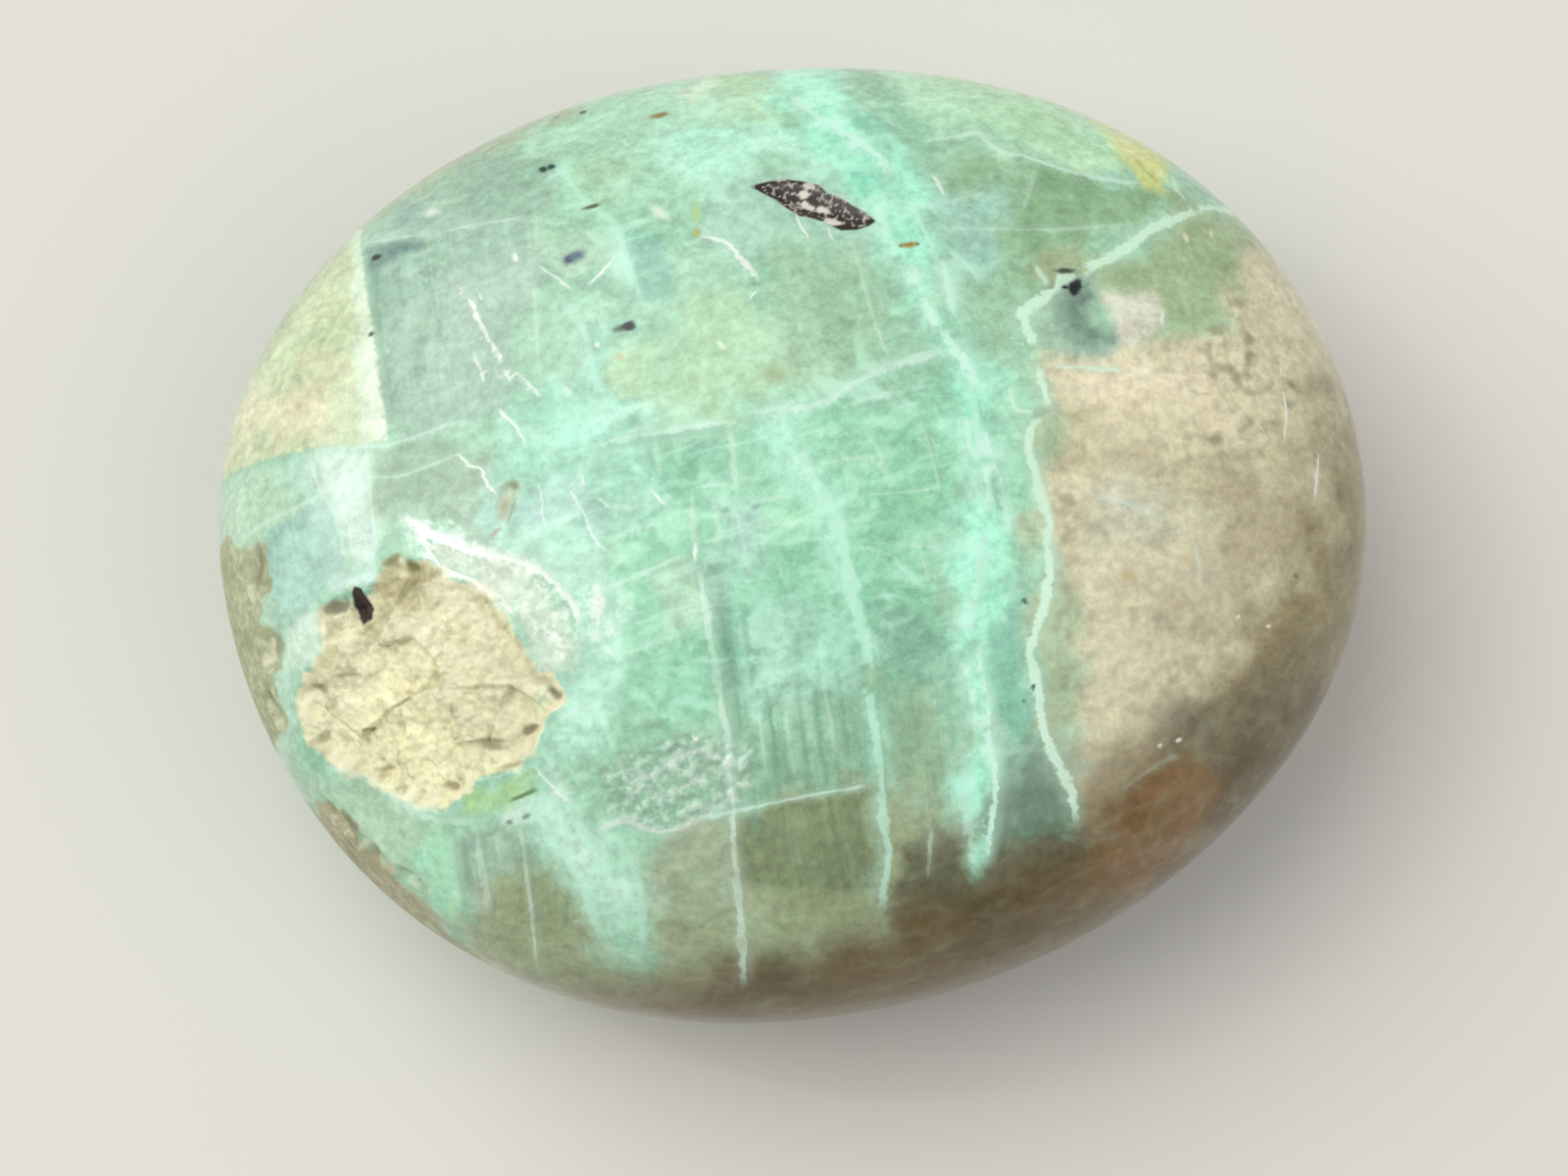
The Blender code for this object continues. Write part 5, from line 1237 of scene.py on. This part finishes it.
def store_fields(mesh, points):
    """Keep what the stone's finish reads: places, zones, seams and textured areas."""
    plan = through_plan(points)
    below = np.maximum(-points[:, 2], 0.0)
    store(mesh, "stone_mm", plan_3d(points, plan))
    ground, inset, edge = paint_zones(points, plan, below)
    store(mesh, "ground_tint", ground)
    store(mesh, "inset_tint", inset)
    store(mesh, "inset_edge", edge)
    outlines = {name: outline for name, *_, outline in ZONES}
    store(mesh, "tan_part", ease(0.5 + depth_inside(plan, outlines["tan"])))
    raw = np.max([depth_inside(plan, outlines[name]) - SKIN_FADE * below
                  for name in ("pocket", "raw_left_rim", "raw_low_rim")], axis=0)
    for hollow in HOLLOWS:
        dull = 0.3 * (1.0 - hollow_share(points, hollow))
        raw = np.maximum(raw, np.where(points[:, 2] > 0.0, dull, -1.0))
    store(mesh, "raw_part", ease(0.3 + raw / RAW_EDGE))
    for name, outlines in TEXTURED.items():
        inside = np.max([depth_inside(plan, outline) for outline in outlines], axis=0)
        store(mesh, name, inside - SKIN_FADE * below)
    patch, lumps = crumple(points)
    store(mesh, "crumpled", patch)
    store(mesh, "lumps", lumps)
    tints, shares = paint_specks(points)
    store(mesh, "speck_tint", tints)
    store(mesh, "speck", shares)
    inside, pale = paint_crystal(points)
    store(mesh, "dark_crystal", inside)
    store(mesh, "crystal_pale", pale)
    edges = read_edges(mesh)
    for name, family in SEAMS.items():
        store(mesh, "seam_" + name, seam_field(plan, edges, family[-1]))


def shape_stone():
    """The stone's mesh in the row frame, and the shift from the pillow's axis to it."""
    cube = fine_cube()
    mesh = bpy.data.meshes.new("polished_palm_stone")
    cube.to_mesh(mesh)
    cube.free()
    smooth = swell(cube_to_ball(read_points(mesh)))
    mesh.vertices.foreach_set("co", smooth.ravel())
    mesh.update()
    height, tone = relief(smooth)
    points = smooth + read_points(mesh, "normal") * height[:, None]
    points[:, 2] = np.maximum(points[:, 2], REST_CUT - BACK_DEPTH)
    low, high = points.min(axis=0), points.max(axis=0)
    room_low, room_high = np.array(LOW) / MM, np.array(HIGH) / MM
    scale = (room_high - room_low) / (high - low)
    shift = room_low - low * scale
    mesh.vertices.foreach_set("co", ((points * scale + shift) * MM).ravel())
    mesh.update()
    mesh.shade_smooth()
    store_fields(mesh, smooth)
    store(mesh, "grain_tone", tone)
    return mesh, shift


def stone_noises(tree):
    """The patterns that the parts of the finish share, each at its real size."""
    place = add(tree, "Attribute", attribute_name="stone_mm").node.outputs["Vector"]
    bend = add(tree, "TexNoise", {"Vector": place, "Scale": 1 / BEND_SIZE, "Detail": 1.0})
    bend = add(tree, "VectorMath", {0: bend.node.outputs["Color"], 1: (0.5, 0.5, 0.5)},
               operation="SUBTRACT")
    bent = add(tree, "VectorMath", {0: bend, 1: (2.0 * BEND_REACH,) * 3, 2: place},
               operation="MULTIPLY_ADD")
    wisps = add(tree, "TexNoise", {"Vector": bent, "Scale": 1 / WISP_SIZE, "Detail": 5.0,
                                   "Roughness": 0.58, "Distortion": 0.6})
    flecks = add(tree, "TexNoise", {"Vector": place, "Scale": 1 / FLECK_SIZE, "Detail": 3.0,
                                    "Roughness": 0.70})
    across = add(tree, "Mapping", {"Vector": bent, "Rotation": (0.0, 0.0, STROKE_RISE),
                                   "Scale": STROKE_SIZE}, vector_type="TEXTURE")
    across = add(tree, "TexNoise", {"Vector": across, "Scale": 1.0, "Detail": 3.0,
                                    "Distortion": 0.4})
    comes_and_goes = add(tree, "MapRange", {"Value": wisps, "From Min": 0.36,
                                            "From Max": 0.58, "To Min": 0.3})
    # Wisps and flecks again, from about -1 to 1, for edges
    wander, shiver = (
        add(tree, "MapRange", {"Value": pattern, "From Min": 0.3, "From Max": 0.7,
                               "To Min": -1.0, "To Max": 1.0}, clamp=False)
        for pattern in (wisps, flecks))
    return {"place": place, "bent": bent, "wisps": wisps, "flecks": flecks, "across": across,
            "wander": wander, "shiver": shiver, "comes_and_goes": comes_and_goes}


def roughened(tree, name, pattern, reach):
    """What the mesh keeps under a name, roughened by one of the stone's patterns."""
    kept = add(tree, "Attribute", attribute_name=name).node.outputs["Fac"]
    return add(tree, "Math", {0: pattern, 1: reach, 2: kept}, operation="MULTIPLY_ADD")


def lay_tint(tree, colour, tint, share, *others):
    """Lay a colour over the stone by a share, or by the product of several."""
    for other in others:
        share = add(tree, "Math", {0: share, 1: other}, operation="MULTIPLY")
    return add(tree, "Mix", {"Factor": share, UNDER: colour, OVER: hex_colour(tint)},
               data_type="RGBA")


def lay_tones(tree, colour, where, tone, tints):
    """Tint a rough place by the tone of its grains. Each tint has the two tones that it
    fades in between, its share at each, and its colour."""
    for low, high, start, end, tint in tints:
        share = add(tree, "MapRange", {"Value": tone, "From Min": low, "From Max": high,
                                       "To Min": start, "To Max": end})
        colour = lay_tint(tree, colour, tint, share, where)
    return colour


def lay_zones(tree, stone):
    """Growth zones of the ground, with their painted light and shade, and the inset parts cut into
    it.
    """
    ground = add(tree, "Attribute", attribute_name="ground_tint")
    inset = add(tree, "Attribute", attribute_name="inset_tint")
    edge = roughened(tree, "inset_edge", stone["shiver"], 0.08)
    share = add(tree, "MapRange", {"Value": edge, "From Min": -0.1, "From Max": 0.1})
    return add(tree, "Mix", {"Factor": share, UNDER: ground, OVER: inset}, data_type="RGBA")


def lay_clouding(tree, stone, colour):
    """Clouds, grains and strokes that lighten and darken the stone all over."""
    tone = 0.14
    for pattern, power in (("wisps", 0.50), ("flecks", 0.95), ("across", 0.35)):
        tone = add(tree, "Math", {0: stone[pattern], 1: power, 2: tone},
                   operation="MULTIPLY_ADD")
    return add(tree, "VectorMath", {0: colour, "Scale": tone}, operation="SCALE")


def lay_streaks(tree, stone, colour):
    """Cleavage of the moonstone: long upright streaks, close together."""
    region = add(tree, "Attribute", attribute_name="streaked").node.outputs["Fac"]
    share = add(tree, "MapRange", {"Value": region, "From Min": -2.0, "From Max": 2.0,
                                   "To Min": 0.05, "To Max": 0.36},
                interpolation_type="SMOOTHSTEP")
    lines = add(tree, "VectorMath", {0: stone["bent"], 1: STREAK_SIZE}, operation="DIVIDE")
    lines = add(tree, "TexNoise", {"Vector": lines, "Scale": 1.0, "Detail": 3.0,
                                   "Roughness": 0.65, "Distortion": 0.25})
    lines = add(tree, "MapRange", {"Value": lines, "From Min": 0.36, "From Max": 0.64,
                                   "To Min": 0.25, "To Max": 0.75})
    return add(tree, "Mix", {"Factor": share, UNDER: colour, OVER: lines},
               data_type="RGBA", blend_type="SOFT_LIGHT")


def lay_veil(tree, stone, colour):
    """White feldspar veil over the green: soft curling clouds and faint strokes."""
    region = roughened(tree, "veiled", stone["wander"], 1.0)
    region = add(tree, "MapRange", {"Value": region, "From Min": -1.5, "From Max": 1.0,
                                    "To Min": 0.12, "To Max": 1.0},
                 interpolation_type="SMOOTHSTEP")
    veil = 0.0
    for pattern, low, high, power in (("wisps", 0.47, 0.72, 0.52), ("across", 0.52, 0.74, 0.42)):
        soft = add(tree, "MapRange", {"Value": stone[pattern], "From Min": low,
                                      "From Max": high, "To Max": power},
                   interpolation_type="SMOOTHSTEP")
        veil = add(tree, "Math", {0: soft, 1: veil}, operation="MAXIMUM")
    return lay_tint(tree, colour, "D0FFE8", veil, region)


def lay_seams(tree, stone, colour):
    """Healed cracks: a ragged, broken core in a faint halo. The curved crack by the pocket carries a
    painted highlight as well.
    """
    for name, (tint, core_power, halo_power, reach, side, ragged, gaps, _) in SEAMS.items():
        field = add(tree, "Attribute", attribute_name="seam_" + name).node.outputs["Vector"]
        parts = add(tree, "SeparateXYZ", {"Vector": field}).node.outputs
        signed = add(tree, "Math", {0: stone["shiver"], 1: ragged, 2: parts["X"]},
                     operation="MULTIPLY_ADD")
        away = add(tree, "Math", {0: signed}, operation="ABSOLUTE")
        core = add(tree, "MapRange", {"Value": away, "From Min": 0.6, "From Max": 1.2,
                                      "To Min": core_power, "To Max": 0.0})
        halo = add(tree, "MapRange", {"Value": away, "From Min": 0.5, "From Max": reach,
                                      "To Min": halo_power, "To Max": 0.0})
        halo = add(tree, "Math", {0: halo, 1: stone["wisps"]}, operation="MULTIPLY")
        if side:
            lies = add(tree, "Math", {0: signed, 1: float(side)}, operation="MULTIPLY")
            lies = add(tree, "MapRange", {"Value": lies, "From Min": -0.5, "From Max": 0.5})
            halo = add(tree, "Math", {0: halo, 1: lies}, operation="MULTIPLY")
        whole = add(tree, "MapRange", {"Value": stone["comes_and_goes"], "To Min": 1.0 - gaps,
                                       "To Max": 1.0})
        core = add(tree, "Math", {0: core, 1: whole}, operation="MULTIPLY")
        share = add(tree, "Math", {0: core, 1: halo}, operation="MAXIMUM")
        colour = lay_tint(tree, colour, tint, share, parts["Y"])
    return colour


def lay_crumple(tree, stone, colour):
    """Crumpled patch of grey and white lumps, grey in the creases as painted shade and white on the
    highest as painted light, and sugar-like white grains by the cracks, partly painted glints.
    """
    patch = add(tree, "Attribute", attribute_name="crumpled").node.outputs["Fac"]
    lumps = roughened(tree, "lumps", stone["shiver"], 0.15)
    # Grey in the creases and white on the highest lumps: the patch's own grey and white, laid out as
    # painted shade in the creases and painted light on the tops.
    colour = lay_tones(tree, colour, patch, lumps, ((0.05, 0.50, 0.60, 0.25, "93AF98"),
                                                    (0.60, 1.0, 0.0, 0.45, "E6F5E6")))
    # White grains, partly painted glints
    region = roughened(tree, "sugary_grains_and_glints", stone["wander"], 0.5)
    region = add(tree, "MapRange", {"Value": region, "From Min": -0.3, "From Max": 0.5,
                                    "To Max": 0.62})
    grains = add(tree, "MapRange", {"Value": stone["shiver"], "From Min": -0.1,
                                    "From Max": 0.6})
    return lay_tint(tree, colour, "F4FBF0", grains, region)


def lay_mottles(tree, stone, colour):
    """Tan feldspar: soft grey-brown mottles that gather in clusters."""
    part = add(tree, "Attribute", attribute_name="tan_part").node.outputs["Fac"]
    spots = add(tree, "TexNoise", {"Vector": stone["place"], "Scale": 1 / MOTTLE_SIZE,
                                   "Detail": 1.5})
    spots = add(tree, "MapRange", {"Value": spots, "From Min": 0.50, "From Max": 0.74,
                                   "To Max": 0.75})
    cluster = add(tree, "TexNoise", {"Vector": stone["place"], "Scale": 1 / CLUSTER_SIZE})
    cluster = add(tree, "MapRange", {"Value": cluster, "From Min": 0.40, "From Max": 0.62,
                                     "To Min": 0.15})
    return lay_tint(tree, colour, "8C8068", spots, part, cluster)


def lay_grains(tree, stone, colour, raw):
    """Broken feldspar: each grain has its own tone, from olive brown to pale cream."""
    tone = roughened(tree, "grain_tone", stone["shiver"], 0.12)
    return lay_tones(tree, colour, raw, tone, ((0.40, 0.16, 0.0, 0.45, "A89E76"),
                                               (0.5, 0.8, 0.0, 0.6, "F4EFD0")))


def lay_specks(tree, colour):
    """Dark grains, stains and chips, with painted shadows at the pocket's edge and a painted glint,
    then the weathered dark crystal with its pale chips.
    """
    tint = add(tree, "Attribute", attribute_name="speck_tint")
    share = add(tree, "Attribute", attribute_name="speck").node.outputs["Fac"]
    colour = add(tree, "Mix", {"Factor": share, UNDER: colour, OVER: tint}, data_type="RGBA")
    pale = add(tree, "Attribute", attribute_name="crystal_pale").node.outputs["Fac"]
    tone = add(tree, "Mix", {"Factor": pale, UNDER: hex_colour("2E241D"),
                             OVER: hex_colour("E4DED4")}, data_type="RGBA")
    inside = add(tree, "Attribute", attribute_name="dark_crystal").node.outputs["Fac"]
    share = add(tree, "MapRange", {"Value": inside, "From Min": -0.05, "From Max": 0.05})
    return add(tree, "Mix", {"Factor": share, UNDER: colour, OVER: tone}, data_type="RGBA")


def finish_stone():
    """Tumble-polished garnierite with moonstone: waxy soft gloss over milky green clouds,
    dull where the feldspar has broken away."""
    material = bpy.data.materials.new("tumble_polished_garnierite_with_moonstone")
    material.use_nodes = True
    tree = material.node_tree
    shader = tree.nodes["Principled BSDF"]
    stone = stone_noises(tree)
    raw = add(tree, "Attribute", attribute_name="raw_part").node.outputs["Fac"]
    colour = lay_zones(tree, stone)
    for lay in (lay_clouding, lay_streaks, lay_mottles, lay_veil, lay_seams, lay_crumple):
        colour = lay(tree, stone, colour)
    colour = lay_grains(tree, stone, colour, raw)
    colour = lay_specks(tree, colour)
    tree.links.new(colour, shader.inputs["Base Color"])

    # The polish is uneven, and gone where the stone is broken
    gloss = add(tree, "MapRange", {"Value": stone["flecks"], "From Min": 0.3, "From Max": 0.7,
                                   "To Min": GLOSSIEST, "To Max": DULLEST})
    gloss = add(tree, "Mix", {"Factor": raw, FIRST: gloss, SECOND: BROKEN})
    tree.links.new(gloss, shader.inputs["Roughness"])

    peel = add(tree, "TexNoise", {"Vector": stone["place"], "Scale": 1 / PEEL_SIZE,
                                  "Detail": 1.0})
    bump = add(tree, "Bump", {"Height": peel, "Strength": 1.0, "Distance": PEEL_HEIGHT * MM})
    tree.links.new(bump, shader.inputs["Normal"])

    shader.inputs["IOR"].default_value = 1.55
    shader.inputs["Subsurface Weight"].default_value = 0.12
    shader.inputs["Subsurface Radius"].default_value = (0.8, 1.0, 0.8)
    shader.inputs["Subsurface Scale"].default_value = 1.0 * MM
    return material


def lay_floor():
    """Plain pale studio floor under the stone."""
    half = 1.5
    mesh = bpy.data.meshes.new("studio_floor")
    corners = [(-half, -half, 0.0), (half, -half, 0.0), (half, half, 0.0), (-half, half, 0.0)]
    mesh.from_pydata(corners, [], [(0, 1, 2, 3)])
    floor = bpy.data.objects.new("studio_floor", mesh)
    bpy.context.scene.collection.objects.link(floor)
    paper = bpy.data.materials.new("matt_backdrop_paper")
    paper.use_nodes = True
    shader = paper.node_tree.nodes["Principled BSDF"]
    shader.inputs["Base Color"].default_value = hex_colour("E4E2DC")
    shader.inputs["Roughness"].default_value = 0.9
    mesh.materials.append(paper)


def aim_at(thing, spot, target, lean=0.0):
    """Put a camera or a lamp at a spot, looking at the target, leaning by some degrees."""
    looking = (target - spot).to_track_quat("-Z", "Y").to_matrix().to_4x4()
    thing.matrix_world = (Matrix.Translation(spot) @ looking
                          @ Matrix.Rotation(math.radians(lean), 4, "Z"))
    bpy.context.scene.collection.objects.link(thing)


def set_camera(shift):
    """Camera at the photograph's angle, looking down on the face."""
    height = math.radians(CAMERA_HEIGHT)
    target = (Vector(AIM) + Vector(shift)) * MM
    back = Vector((0.0, -math.cos(height), math.sin(height)))
    data = bpy.data.cameras.new("camera")
    data.lens = LENS
    data.sensor_width = SENSOR
    data.clip_start = 0.01
    camera = bpy.data.objects.new("camera", data)
    aim_at(camera, target + back * CAMERA_DISTANCE * MM, target, -CAMERA_LEAN)
    bpy.context.scene.camera = camera


def soft_lamp(name, direction, distance, length, width, lean, watts, tint):
    """Oval soft box that lights the stone from a direction, turned by some degrees."""
    data = bpy.data.lights.new(name, "AREA")
    data.shape = "ELLIPSE"
    data.size = length
    data.size_y = width
    data.energy = watts
    data.color = tint
    middle = Vector((0.0, 0.0, HEIGHT * MM / 2.0))
    lamp = bpy.data.objects.new(name, data)
    aim_at(lamp, middle + Vector(direction).normalized() * distance, middle, lean)


def light_scene():
    """Window and soft key from the upper left, a wide fill, and an even pale surround."""
    for lamp in LAMPS:
        soft_lamp(*lamp)
    world = bpy.data.worlds.new("pale_surround")
    world.use_nodes = True
    shade = world.node_tree.nodes["Background"]
    shade.inputs["Color"].default_value = (1.0, 1.0, 1.0, 1.0)
    shade.inputs["Strength"].default_value = SURROUND
    bpy.context.scene.world = world
    bpy.context.scene.view_settings.view_transform = "Standard"


# Without a seed, Blender's vector noise would be different on each run
noise.seed_set(NOISE_SEED)
mesh, shift = shape_stone()
stone = bpy.data.objects.new("polished_palm_stone", mesh)
bpy.context.scene.collection.objects.link(stone)
mesh.materials.append(finish_stone())
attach(stone, "root")
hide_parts(NODE)

lay_floor()
set_camera(shift)
light_scene()
